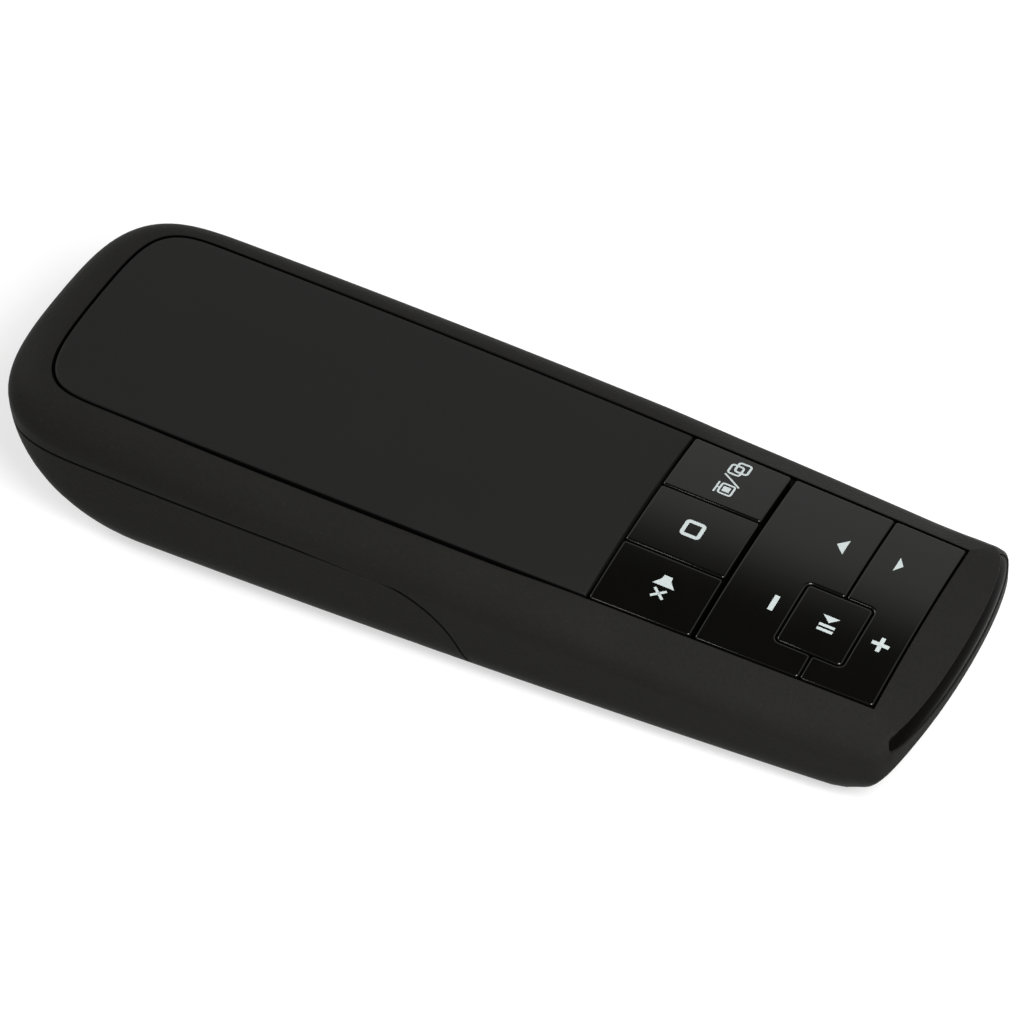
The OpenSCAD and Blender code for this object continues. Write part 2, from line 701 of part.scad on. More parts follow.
// ---- receiver, stored across the tail
receiver_y = -(plug_len + receiver_len) / 2;
module receiver_body() color(soft_black) difference() {
    block(pocket_x - receiver_w / 2, pocket_x + receiver_w / 2, receiver_y, receiver_y + receiver_len,
          pocket_z - receiver_t / 2, pocket_z + receiver_t / 2);
    // finger grooves on both faces
    for (y = [2, 3.5, 5]) for (z = [-1, 1])
        translate([pocket_x - receiver_w / 2 + 2, receiver_y + y, pocket_z + z * receiver_t / 2])
            rotate([0, 90, 0]) cylinder(d = 0.6, h = receiver_w - 4);
}
module receiver_plug() color(steel) difference() {
    block(pocket_x - plug_w / 2, pocket_x + plug_w / 2, receiver_y + receiver_len, -receiver_y,
          pocket_z - plug_t / 2, pocket_z + plug_t / 2);
    // open end above the contact tongue
    block(pocket_x - plug_w / 2 + 0.3, pocket_x + plug_w / 2 - 0.3, receiver_y + receiver_len + 1, 1 - receiver_y,
          pocket_z + 0.1, pocket_z + plug_t / 2 - 0.3);
    // latch windows of the plug
    for (x = [-2.5, 2.5]) for (z = [0.5, -1.5])
        translate([pocket_x + x - 1, 4, pocket_z + z * plug_t]) cube([2, 2, plug_t]);
}

// ---- screws
module screw(d, len, head) {
    cylinder(d = head, h = 0.9);
    translate([0, 0, 0.8]) cylinder(d = d, h = len + 0.1);
}
module housing_screws() color(steel) for (x = screw_x) both_sides()
    translate([x, screw_y, flange_z - 0.9]) screw(screw_d, screw_len, 3.6);
module board_screws() color(steel) on_deck() for (p = board_screw_at) both_sides()
    translate([p[0], p[1], -board_z - board_t - 0.9]) screw(board_screw_d, board_t + 3, 2.8);

top_shell();
grip_panel();
base_shell();
battery_door();
front_window();
key_guide();
screen_switch_key();
blank_screen_key();
mute_key();
back_rocker();
forward_rocker();
play_key();
pivot_pin();
key_mat();
circuit_board();
dome_switches();
radio_chip();
controller_chip();
crystal();
status_led();
cell_left();
cell_right();
bridge_contact();
plus_contact();
minus_contact();
receiver_body();
receiver_plug();
housing_screws();
board_screws();
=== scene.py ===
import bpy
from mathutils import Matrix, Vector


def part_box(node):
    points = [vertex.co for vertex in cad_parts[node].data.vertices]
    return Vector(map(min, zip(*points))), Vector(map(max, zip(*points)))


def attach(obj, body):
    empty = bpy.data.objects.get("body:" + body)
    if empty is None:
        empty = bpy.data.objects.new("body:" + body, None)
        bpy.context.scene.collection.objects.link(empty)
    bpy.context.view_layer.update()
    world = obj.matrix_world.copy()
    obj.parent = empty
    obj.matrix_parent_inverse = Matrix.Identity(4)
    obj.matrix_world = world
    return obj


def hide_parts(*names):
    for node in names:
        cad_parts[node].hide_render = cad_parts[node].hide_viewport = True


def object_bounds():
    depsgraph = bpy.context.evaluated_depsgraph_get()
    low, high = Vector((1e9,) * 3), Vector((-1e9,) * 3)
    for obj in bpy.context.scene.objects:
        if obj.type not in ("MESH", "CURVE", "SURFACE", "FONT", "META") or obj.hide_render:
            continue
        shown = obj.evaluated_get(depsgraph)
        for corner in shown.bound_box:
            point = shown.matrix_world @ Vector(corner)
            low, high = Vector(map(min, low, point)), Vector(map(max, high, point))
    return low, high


bl_info = {
    "name": "Wireless presentation clicker",
    "version": (1, 0, 0),
    "blender": (4, 5, 0),
    "location": "View3D > Sidebar > Clicker",
    "description": "Gives a packed presentation clicker its moulded surfaces, keys and finishes",
    "category": "Object",
}

from math import cos, pi, radians, sin, tan

import bmesh
import bpy
import numpy as np
from bpy.props import FloatProperty, FloatVectorProperty, PointerProperty
from bpy.types import Operator, Panel, PropertyGroup
from mathutils import Matrix, Vector

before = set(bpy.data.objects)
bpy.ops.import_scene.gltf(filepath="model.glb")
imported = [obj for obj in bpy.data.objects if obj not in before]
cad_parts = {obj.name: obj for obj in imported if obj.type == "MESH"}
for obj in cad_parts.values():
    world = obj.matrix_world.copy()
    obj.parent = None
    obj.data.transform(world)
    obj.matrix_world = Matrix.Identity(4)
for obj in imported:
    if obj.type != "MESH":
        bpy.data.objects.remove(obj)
CAD_BOX = [list(corner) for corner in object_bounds()]
CELL_LOW, CELL_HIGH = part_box("cell_left")
CONTACT_LOW, CONTACT_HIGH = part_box("plus_contact")


# ---- sizes and colours


def size(name, default, description):
    return FloatProperty(
        name=name, description=description, default=default, min=0.0, unit="LENGTH", precision=5
    )


def place(name, default, description):
    return FloatProperty(
        name=name, description=description, default=default, unit="LENGTH", precision=5
    )


def number(name, default, description):
    return FloatProperty(name=name, description=description, default=default, precision=4)


def turn(name, degrees, description):
    return FloatProperty(
        name=name, description=description, default=radians(degrees), unit="ROTATION"
    )


def colour(name, default, description):
    return FloatVectorProperty(
        name=name, description=description, default=default, subtype="COLOR", size=3, min=0, max=1
    )


class ClickerBody(PropertyGroup):
    """Form of the moulded body."""

    length: size("Length", CAD_BOX[1][0] - CAD_BOX[0][0], "Tail to tip")
    width: size("Width", 0.042, "Across the widest place")
    widest_x: place("Widest at", -0.020, "Where the body is widest")
    bow_radius: size("Side bow", 1.85, "Radius of the sides, seen from above")
    deck_height: size("Deck height", 0.0167, "Top at the rear edge of the keys")
    deck_x: place("Deck start", 0.0197, "Rear edge of the keys")
    deck_tilt: turn("Deck tilt", 4.4, "Fall of the key deck towards the tip")
    top_ease: turn("Top ease", 0.18, "How much flatter the top is than the deck, where the keys begin")
    arch_radius: size("Arch", 5.0, "Radius of the top along the body")
    crown_radius: size("Crown", 0.110, "Radius of the top across the body")
    shoulder_drop: size("Shoulder drop", 0.0040, "Height of the rounded rear shoulder")
    tail_length: size("Tail length", 0.018, "Length of the rounded tail")
    tail_power: number("Tail squareness", 3.65, "Power of the tail's outline")
    tip_length: size("Tip length", 0.00295, "Length of the tip's rounded corners")
    tip_power: number("Tip squareness", 3.75, "Power of the tip's outline")
    tip_bow: size("Tip bow", 0.00207, "Bow of the front edge")
    tip_inset: number("Tip inset", 0.6, "Share of an inset that moves the tip's outline back")
    tip_blend: place("Tip blend", 0.048, "Where the sides begin to take the tip's section")
    tip_lead: size("Tip lead", 0.004, "How much earlier an inset begins to follow the tip")
    opening_tail: place("Opening tail", -0.0567, "Rear end of the opening in the top")
    opening_round: size("Opening rounding", 0.0122, "Length of the opening's rounded end")
    opening_power: number("Opening squareness", 4.8, "Power of the opening's rounded end")
    opening_bow: size("Opening bow", 0.00086, "Swell of the opening towards the tail")
    opening_run: size("Opening run", 0.070, "Length over which the opening swells")
    opening_taper: size("Opening taper", 0.001, "Narrowing of the opening towards the tip")
    facet_start: place("Facet start", 0.0128, "Where the flat beside the keys begins")
    facet_full: place("Facet full", 0.028, "Where the flat beside the keys is at full width")
    facet_rear: size("Roll beside the facet, rear", 0.00195, "Rounding outside the facet")
    facet_tip: size("Roll beside the facet, tip", 0.0026, "Rounding outside the facet")
    facet_drop: size("Facet drop", 0.00155, "Fall of the flat beside the keys")
    lip_edge: size("Lip edge", 0.0007, "Rounding of the lip over the window")
    lip_fall: size("Lip fall", 0.00196, "Fall of the lip from its middle to its corners")
    lip_power: number("Lip power", 4.9, "How late the lip falls")
    corner: size("Lower corner", 0.0056, "Radius between the sides and the underside")
    sweep_x: place("Tail sweep", -0.0405, "Where the underside begins to rise to the tail")
    sweep_rise: size("Tail rise", 0.0137, "Rise of the underside at the tail")
    sweep_power: number("Tail sweep power", 2.13, "Shape of the rise")
    chin_x: place("Chin", 0.0529, "Where the underside begins to round up to the tip")
    chin_rise: size("Chin rise", 0.016, "Rise of the underside to where it would stand upright")
    chin_past: size("Chin past", 0.0003, "How far past the tip it would stand upright")
    seam_height: size("Seam height", 0.01255, "Seam over the battery door, at the middle")
    seam_fall: number("Seam fall", 0.0307, "Fall of the seam towards the tip")
    seam_gap: size("Seam gap", 0.0002, "Gap round the battery door")
    seam_edge: size("Seam edge", 0.00012, "Height of the eased edge along the seam")
    seam_ease: size("Seam ease", 0.0001, "Depth of the eased edge along the seam")
    door_curve_x: place("Door curve", -0.0075, "Where the door's edge curves down")
    door_end: place("Door end", 0.0063, "Front edge of the door, on the underside")
    base_height: size("Base height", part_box("top_shell")[0][2], "Lower edge of the upper housing")
    base_overlap: size("Base overlap", 0.003, "How far that edge reaches back over the door's end")
    wall: size("Wall", 0.0018, "Wall of the upper housing")
    thin_wall: size("Thin wall", 0.0016, "Wall of the door and of the underside")
    recess: size("Recess", 0.0014, "Depth of the recess for the palm panel")
    roof: size("Roof", 0.0026, "Depth of the inner face under the top")
    inner_drop: size("Inner drop", 0.0050, "Depth of the inner wall's upper edge under the top")
    rim: size("Rim", 0.00018, "Rounding of the edge round the panel and the keys")
    rim_foot: size("Rim foot", 0.0003, "Depth under the rim of the wall that is in full shade")
    swell: size("Rim swell", 0.0005, "How much rounder the rim is beside the panel")
    swell_rear: place("Swell rear", -0.048, "Where the rim begins to swell")
    swell_rise: size("Swell rise", 0.024, "Length over which it swells")
    swell_front: place("Swell front", 0.0185, "Where the swell has ended")
    swell_fall: size("Swell fall", 0.012, "Length over which it ends")
    panel_gap: size("Panel gap", 0.00030, "Gap round the palm panel")
    panel_edge: size("Panel edge", 0.00025, "Rounding of the palm panel's edge")
    panel_lift: size("Panel lift", 0.00003, "Gap under the palm panel")
    window_half: size("Window half width", 0.0175, "Half the width of the front window")
    window_lip: size("Window lip", 0.0002, "Lip above the front window")
    window_foot: size("Window foot", 0.0106, "Height of the window's lower edge at its middle")
    window_sag: size("Window sag", 0.0005, "How much lower the window's lower edge is at its ends")
    window_round: size("Window end", 0.0004, "Rounding of the window's ends")
    window_depth: size("Window depth", 0.0016, "Depth of the front window behind the tip")
    window_set: size("Window set", 0.00012, "How far the window lies behind the tip")
    window_edge: size("Window edge", 0.00012, "Rounding of the window's edge")
    window_gap: size("Window gap", 0.00008, "Gap round the window")
    window_room: size("Window room", 0.0001, "Gap behind the window")


class ClickerKeys(PropertyGroup):
    """Keys and what is printed on them, in the plane of the deck."""

    block: size("Key block", 0.037, "Length of the key block")
    width: size("Key width", 0.030, "Width of the key block at its rear edge")
    row_start: size("Row start", 0.0002, "Rear edge of the three rear keys")
    row_end: size("Row end", 0.0134, "Front edge of the three rear keys")
    row_split: size("Row split", 0.0051, "Half the width of the middle key and its gap")
    rock_start: size("Rocking start", 0.0140, "Rear edge of the rocking keys")
    rock_split: size("Rocking split", 0.02745, "Joint of the two rocking keys")
    rock_end: size("Rocking end", 0.0369, "Front edge of the rocking keys")
    play_x: place("Play key ahead", 0.02695, "Middle of the play key along the deck")
    play_y: place("Play key aside", -0.00565, "Middle of the play key across the deck")
    play_length: size("Play key length", 0.0085, "Play key along the deck")
    play_width: size("Play key width", 0.0093, "Play key across the deck")
    gap: size("Key gap", 0.0002, "Gap between neighbouring keys")
    side_gap: size("Side gap", 0.00025, "Gap between the keys and the housing")
    skirt: size("Skirt", 0.0034, "Height of a key's side")
    face: size("Face", 0.0019, "Thickness of a key's face")
    wall: size("Key wall", 0.0010, "Thickness of a key's side")
    edge: size("Edge", 0.00028, "Rounding of a key's top edge")
    corner: size("Corner", 0.0004, "Rounding of a key's corners")
    play_corner: size("Play corner", 0.00055, "Rounding of the play key's corners")
    icon_raise: size("Icon raise", 0.00002, "Height of the printed icons")
    icon_root: size("Icon root", 0.00003, "How deep the icons reach into the key")


class ClickerInside(PropertyGroup):
    """Sizes and places of the parts inside."""

    flange_height: size("Flange height", 0.0105, "Underside of the battery bay's flange")
    screw_rear: place("Rear screws", -0.036, "Rear housing screws")
    screw_front: place("Front screws", -0.002, "Front housing screws")
    screw_aside: size("Screws aside", 0.015, "Housing screws, from the middle")
    screw_length: size("Screw length", 0.004, "Length of the screws under the head")
    screw_head: size("Screw head", 0.0009, "Height of the screws' heads")
    board_depth: size("Board depth", 0.0074, "Top of the board below the deck")
    board_thickness: size("Board thickness", 0.001, "Thickness of the board")
    dome_diameter: size("Dome diameter", 0.0046, "Diameter of the snap domes")
    dome_height: size("Dome height", 0.00035, "Height of the snap domes")
    bay_front: place("Bay front", CONTACT_HIGH[0], "Front wall of the battery bay")
    contact_thickness: size(
        "Contact thickness", CONTACT_HIGH[0] - CONTACT_LOW[0], "Thickness of the contacts"
    )
    contact_half: size(
        "Contact half", (CONTACT_HIGH[2] - CONTACT_LOW[2]) / 2, "Half the height of a single contact"
    )
    contact_foot: size("Contact foot", 0.0025, "From the middle of the cells to the bridge's lower edge")
    spring_length: size("Spring length", 0.0045, "Room for the contact springs")
    spring_set: size("Spring set", 0.00015, "From a contact's face to the middle of its spring's wire")
    cell_length: size("Cell length", CELL_HIGH[0] - CELL_LOW[0], "Length of a cell")
    cell_diameter: size("Cell diameter", CELL_HIGH[2] - CELL_LOW[2], "Diameter of a cell")
    cell_aside: size("Cell aside", (CELL_HIGH[1] + CELL_LOW[1]) / 2, "Cells, from the middle")
    cell_height: size("Cell height", (CELL_HIGH[2] + CELL_LOW[2]) / 2, "Middle of the cells over the table")


class ClickerFinish(PropertyGroup):
    """Colours of the finishes."""

    housing: colour("Housing", (0.0150, 0.0147, 0.0132), "Soft black moulding")
    panel: colour("Palm panel", (0.0090, 0.0091, 0.0086), "Satin palm panel")
    key: colour("Keys", (0.0022, 0.0021, 0.0016), "Gloss black keys")
    icon: colour("Icons", (0.44, 0.49, 0.485), "Icons on the keys")
    window: colour("Window", (0.0028, 0.0025, 0.0022), "Smoked front window")
    guide: colour("Guide", (0.010, 0.010, 0.010), "Guide plate and receiver")
    mat: colour("Mat", (0.16, 0.17, 0.18), "Silicone mat")
    board: colour("Board", (0.010, 0.070, 0.030), "Solder mask of the circuit board")
    steel: colour("Steel", (0.55, 0.56, 0.58), "Steel pins, screws and cans")
    contact: colour("Contacts", (0.66, 0.62, 0.53), "Nickel plated contacts")
    sleeve: colour("Cell sleeve", (0.030, 0.085, 0.055), "Printed sleeve of the cells")
    chip: colour("Chip", (0.012, 0.012, 0.013), "Moulded chip packages")
    lens: colour("Status lens", (0.55, 0.60, 0.55), "Clear lens of the status light")


class ClickerStudio(PropertyGroup):
    """Camera, floor and world."""

    azimuth: turn("Azimuth", 29.715, "Camera's bearing")
    elevation: turn("Elevation", 46.279, "Camera's height over the horizon")
    roll: turn("Roll", -3.171, "Camera's roll")
    focal: number("Focal length", 4408.2, "Focal length in pixels of the frame")
    frame_width: number("Frame width", 1024, "Width of the frame in pixels")
    distance: size("Distance", 0.53173, "From the camera to the aim")
    aim: FloatVectorProperty(
        name="Aim", description="Point that fixes the camera's place", default=(0.0198, 0, 0.0178),
        subtype="TRANSLATION", unit="LENGTH",
    )
    off_right: number("Off right", 130.705, "Pixels that the aim lies right of the middle")
    off_up: number("Off up", 8.424, "Pixels that the aim lies above the middle")
    floor: colour("Floor", (0.50, 0.50, 0.50), "Floor and backdrop")
    floor_depth: size("Floor depth", 0.00005, "How far the floor lies under the clicker")
    glow: number("Glow", 0.56, "How much paler the floor is to the eye than to the light")


# name, what it points at, the way from there to it, distance, width and power in watts
LAMPS = (
    ("tip_softbox", (0.05, 0, 0.012), (0.40, -0.40, 0.82), 0.30, 0.15, 1.20),
    ("edge_lamp", (0, 0, 0.01), (-0.21, -0.75, 0.613), 0.75, 0.09, 0.30),
    ("tail_softbox", (0, 0, 0.01), (-0.86, 0.10, 0.50), 0.80, 0.40, 2.2),
)

# places on the deck, ahead and aside: the board screws of one side, and the presses of the larger keys
BOARD_SCREWS = ((0.004, 0.0168), (0.033, 0.0155))
ROW_PRESSES = tuple((0.0069, y) for y in (0.010, 0, -0.010))
BACK_PRESSES = ((0.0205, 0.0095), (0.0183, -0.0095))
FORWARD_PRESSES = ((0.033, 0.0095), (0.0342, -0.0095))

# columns stand at this pitch where the flat beside the keys grows, and a little behind and ahead of that
FACET_PITCH, FACET_BEHIND, FACET_AHEAD = 0.0008, 0.0013, 0.0025
# share of the side that holds no other column next to the one at the key well's edge
WELL_ROOM = 0.002

# flat solids are cut into strips this wide before they are bent over the crown
CAP_PITCH, ICON_PITCH = 0.0012, 0.0008
CELL_SIDES = 48

GROUPS = {
    "clicker_body": ClickerBody,
    "clicker_keys": ClickerKeys,
    "clicker_inside": ClickerInside,
    "clicker_finish": ClickerFinish,
    "clicker_studio": ClickerStudio,
}


def settings(kind):
    return getattr(bpy.context.scene, "clicker_" + kind)


# ---- curves of the moulded form


def unit(v):
    return np.clip(v, 0.0, 1.0)


def smooth(v):
    v = unit(v)
    return v * v * (3 - 2 * v)


def lerp(a, b, share):
    return a + (b - a) * share


def row_of(x, y, z):
    """A row of points from their coordinates."""
    return np.stack([x, y, z], axis=1)


def eased(n, power=1.8):
    """n + 1 shares from 0 to 1, closer together at both ends."""
    share = np.linspace(0, 1, n + 1)
    return share**power / (share**power + (1 - share) ** power)


def angles(first, last, steps):
    """steps + 1 angles, given in degrees and returned in radians."""
    return np.radians(np.linspace(first, last, steps + 1))


def solved(too_low, low, high, steps=50):
    """The number between low and high, or numbers, at which too_low stops being true."""
    for _ in range(steps):
        middle = (low + high) / 2
        below = too_low(middle)
        low, high = np.where(below, middle, low), np.where(below, high, middle)
    return low


class Outline:
    """Columns round half the body, from the tail to the tip.

    A column is a point on the body's outline (out_x, out_y), a point on the opening's outline (in_x, in_y),
    the share to which it belongs to the tip, and the ways in which the two points move for an inset.
    """

    def __init__(self, columns):
        (
            self.out_x, self.out_y, self.in_x, self.in_y, self.tip,
            self.out_way_x, self.out_way_y, self.in_way_x, self.in_way_y,
        ) = np.array(columns, dtype=float).T

    def __len__(self):
        return len(self.out_x)

    def body(self, inset=0.0):
        return self.out_x + inset * self.out_way_x, np.maximum(0, self.out_y + inset * self.out_way_y)

    def opening(self, inset=0.0):
        return self.in_x + inset * self.in_way_x, np.maximum(0, self.in_y + inset * self.in_way_y)

    def span(self):
        return np.hypot(self.out_x - self.in_x, self.out_y - self.in_y)


class Form:
    """The body's surfaces as functions, in metres."""

    def __init__(self):
        self.body = settings("body")
        self.keys = settings("keys")
        self.tip_x = self.body.length / 2
        self.key_end = self.body.deck_x + self.keys.block
        self.side_start = self.body.tail_length - self.tip_x
        self.side_end = self.tip_x - self.body.tip_bow - self.body.tip_length
        self.opening_start = self.body.opening_tail + self.body.opening_round

    def top(self, x, y=0.0):
        body, ahead = self.body, x - self.body.deck_x
        fall = ahead * tan(body.deck_tilt - body.top_ease)
        arch = ahead * ahead / (2 * body.arch_radius)
        return body.deck_height - fall - arch - y * y / (2 * body.crown_radius)

    def half_width(self, x):
        return self.body.width / 2 - (x - self.body.widest_x) ** 2 / (2 * self.body.bow_radius)

    def opening_width(self, x):
        """Half the width of the opening in the top."""
        body, ahead, half = self.body, x - self.body.deck_x, self.keys.width / 2
        swell = half + body.opening_bow * (1 - np.maximum(0, 1 + ahead / body.opening_run) ** 2)
        return np.where(ahead < 0, swell, half - body.opening_taper * ahead / self.keys.block)

    def low(self, x):
        """Height of the underside, which rises to the tail and rounds up to the tip."""
        body = self.body
        sweep = unit((body.sweep_x - x) / (body.sweep_x + self.tip_x))
        chin = unit((x - body.chin_x) / (self.tip_x + body.chin_past - body.chin_x))
        return body.sweep_rise * sweep**body.sweep_power + body.chin_rise * (1 - np.sqrt(1 - chin * chin))

    def to_corner(self, y):
        return (np.abs(y) / (self.body.width / 2)) ** self.body.lip_power

    def lip_drop(self, y):
        return self.body.lip_fall * self.to_corner(y)

    def seam(self, x):
        return self.body.seam_height - self.body.seam_fall * x

    # columns of an outline

    def tail_point(self, angle):
        """Column round the tail, from its middle at 0 to the side at a quarter turn."""
        body = self.body
        out_cos, out_sin = (f(angle) ** (2 / body.tail_power) for f in (cos, sin))
        in_cos, in_sin = (f(angle) ** (2 / body.opening_power) for f in (cos, sin))
        out_x = -self.tip_x + body.tail_length * (1 - out_cos)
        in_x = body.opening_tail + body.opening_round * (1 - in_cos)
        out_y, in_y = self.half_width(out_x) * out_sin, float(self.opening_width(in_x)) * in_sin
        return [out_x, out_y, in_x, in_y, 0, out_cos, -out_sin, in_cos, -in_sin]

    def side_point(self, share):
        """Column on the side, from the tail at 0 to the tip at 1."""
        body = self.body
        out_x = lerp(self.side_start, self.side_end, share)
        in_x = lerp(self.opening_start, self.key_end, share)
        tip = float(smooth((out_x - body.tip_blend) / (self.side_end - body.tip_blend)))
        back_start = body.tip_blend - body.tip_lead
        back = -body.tip_inset * float(smooth((out_x - back_start) / (self.side_end - back_start)))
        return [out_x, self.half_width(out_x), in_x, float(self.opening_width(in_x)), tip, back, -1, 0, -1]

    def tip_point(self, angle):
        """Column round the tip, from its middle at 0 to the side at a quarter turn."""
        body = self.body
        along, across = max(0, cos(angle)) ** (2 / body.tip_power), sin(angle) ** (2 / body.tip_power)
        out_x = self.tip_x - body.tip_bow * across * across - body.tip_length * (1 - along)
        out_y, in_y = self.half_width(out_x) * across, float(self.opening_width(self.key_end)) * across
        back = lerp(body.tip_inset, 1, along)
        return [out_x, out_y, self.key_end, in_y, 1, -back, -across, -along, -across]

    def side_share(self, x):
        return (x - self.side_start) / (self.side_end - self.side_start)

    def opening_share(self, x):
        return (x - self.opening_start) / (self.key_end - self.opening_start)

    def tail_points(self, steps=34):
        """Columns round the tail, closer together at its middle and beside the side."""
        return [self.tail_point(angle) for angle in eased(steps) * pi / 2]

    def side_shares(self, steps=52):
        """Even steps along the side, without its ends."""
        return set(np.round(np.linspace(0, 1, steps + 1)[1:-1], 6))

    def curve_shares(self, grow, steps=18):
        """Columns that follow the door's curved edge at even turns."""
        start, run = self.body.door_curve_x, self.body.door_end - self.body.door_curve_x
        return [self.side_share(start + grow + run * cos(angle)) for angle in angles(90, 0, steps)]

    def window_turns(self, grow):
        """Turns of the tip's outline that follow the half round at the window's end."""
        radius = self.body.window_round + grow
        reach = self.body.window_half + grow - radius
        wanted = [reach + radius * sin(angle) for angle in angles(0, 90, 6)]
        return [float(solved(lambda angle: self.tip_point(angle)[1] < y, 0.0, pi / 2)) for y in wanted]

    # the door's edge

    def door_edge(self, x, grow):
        """Height up to which the battery door fills the side view: the seam, then a quarter ellipse."""
        body = self.body
        run = body.door_end - body.door_curve_x
        ahead = unit((x - body.door_curve_x - grow) / run)
        curve = (self.seam(body.door_curve_x) + grow) * np.sqrt(1 - ahead * ahead)
        return np.where(x < body.door_curve_x + grow, self.seam(x) + grow, curve)

    # the upper half, by a share q of the section: 0 at the opening, 1 at the widest line

    def section(self, outline, q):
        """Share of the way out from the opening, and drop."""
        body = self.body
        q = np.broadcast_to(q, outline.out_x.shape)
        span = outline.span()
        quarter = pi / 2 * q
        rear = np.sin(quarter), body.shoulder_drop * (1 - np.cos(quarter))
        ahead = unit((outline.out_x - body.facet_full) / (self.side_end - body.facet_full))
        edge = 1 - lerp(body.facet_rear, body.facet_tip, ahead) / span
        over = unit(2 * q - 1)
        bend = np.minimum(body.facet_drop / edge, 0.9 * body.shoulder_drop)
        curve = (1 - over) ** 2 * edge + 2 * over * (1 - over) + over * over
        fall = (1 - over) ** 2 * body.facet_drop + 2 * over * (1 - over) * bend
        fall += over * over * body.shoulder_drop
        flat = q < 0.5
        facet = np.where(flat, edge * 2 * q, curve), np.where(flat, body.facet_drop * 2 * q, fall)
        blend = smooth((outline.out_x - body.facet_start) / (body.facet_full - body.facet_start))
        side = lerp(rear[0], facet[0], blend), lerp(rear[1], facet[1], blend)
        lip = 1 - lerp(body.lip_edge, body.facet_tip, self.to_corner(outline.out_y)) / span
        tip = (
            np.where(flat, lip * 2 * q, lerp(lip, 1, np.sin(np.minimum(pi / 2, pi * over)))),
            self.lip_drop(outline.out_y) * np.minimum(1, 2 * q) + body.shoulder_drop * over,
        )
        return lerp(side[0], tip[0], outline.tip), lerp(side[1], tip[1], outline.tip)

    def upper(self, outline, q, sink=0.0, inset=0.0):
        share, drop = self.section(outline, q)
        (out_x, out_y), (in_x, in_y) = outline.body(inset), outline.opening(inset)
        x, y = lerp(in_x, out_x, share), lerp(in_y, out_y, share)
        return row_of(x, y, self.top(x, y) - drop - sink)

    def window_band(self, outline, grow):
        """The q at the upper and at the lower edge of the window, which end in a half round."""
        body = self.body
        radius = body.window_round + grow
        past = unit((outline.out_y - body.window_half - grow + radius) / radius)
        cut = radius * (1 - np.sqrt(1 - past * past))
        foot = body.window_foot - body.window_sag * (outline.out_y / body.window_half) ** 2
        height = self.top(outline.out_x, outline.out_y) - self.lip_drop(outline.out_y) - foot
        least = 0.00005
        upper = body.window_lip - grow + cut
        lower = np.clip(height + grow - cut, upper + least, 0.8 * body.shoulder_drop)
        return 0.5 + upper / (2 * body.shoulder_drop), 0.5 + lower / (2 * body.shoulder_drop)

    def q_at(self, outline, reach):
        """The q at which the section is this far out from the opening."""
        table = np.linspace(0, 1, 201)
        shares = np.array([self.section(outline, q)[0] for q in table])
        wanted = np.broadcast_to(reach / outline.span(), outline.out_x.shape)
        return np.array([np.interp(share, shares[:, i], table) for i, share in enumerate(wanted)])

    # the lower half, by a bend: -1 to 0 down the side, then the angle round the lower corner

    def lower(self, outline, bend, inset=0.0, floor=0.0, widest=None):
        body = self.body
        if widest is None:
            widest = self.upper(outline, 1.0)[:, 2]
        side, angle = unit(-np.asarray(bend, dtype=float)), np.maximum(bend, 0)
        x, y = outline.body(inset + max(0, body.corner - inset) * (1 - np.cos(angle)))
        low = self.low(x) + floor
        least = 0.00002
        height = np.maximum(least, widest - low)
        z = low + height * np.minimum(1, body.corner / height) * (1 - np.sin(angle))
        return row_of(x, y, lerp(np.minimum(widest, z), widest, side))

    def bend_at(self, outline, edge, **where):
        """The bend at which the lower half meets a height edge(x)."""

        def above(bend):
            points = self.lower(outline, bend, **where)
            return points[:, 2] > edge(points[:, 0])

        count = len(outline)
        return solved(above, np.full(count, -1.0), np.full(count, pi / 2))

    def inner_top(self, outline, share, drop):
        """The inner face under the top, at a share of the way from the opening to the inner wall."""
        x, y = outline.body(self.body.wall)
        x, y = lerp(outline.in_x, x, share), lerp(outline.in_y, y, share)
        return row_of(x, y, self.top(x, y) - drop)


# ---- meshes


def placed(name, data):
    """A new object in the scene."""
    thing = bpy.data.objects.new(name, data)
    bpy.context.scene.collection.objects.link(thing)
    return thing


def close(bm, mesh, angle):
    """Writes a closed bmesh to a mesh, with outward faces and smooth shading by angle."""
    loose = sum(1 for edge in bm.edges if len(edge.link_faces) != 2)
    if loose or not bm.faces:
        raise RuntimeError(f"{mesh.name} isn't closed: {loose} edges")
    bmesh.ops.recalc_face_normals(bm, faces=bm.faces[:])
    bm.to_mesh(mesh)
    bm.free()
    for polygon in mesh.polygons:
        polygon.use_smooth = True
    mesh.set_sharp_from_angle(angle=radians(angle))


def finished(bm, name, angle=35):
    """A new object from a closed bmesh."""
    mesh = bpy.data.meshes.new(name)
    close(bm, mesh, angle)
    return placed(name, mesh)


def merged(bm, distance=1e-7):
    bmesh.ops.remove_doubles(bm, verts=bm.verts[:], dist=distance)


def quads(bm, one, two):
    """Faces between two closed loops of as many points."""
    count = len(one)
    for i in range(count):
        j = (i + 1) % count
        bm.faces.new((one[i], one[j], two[j], two[i]))


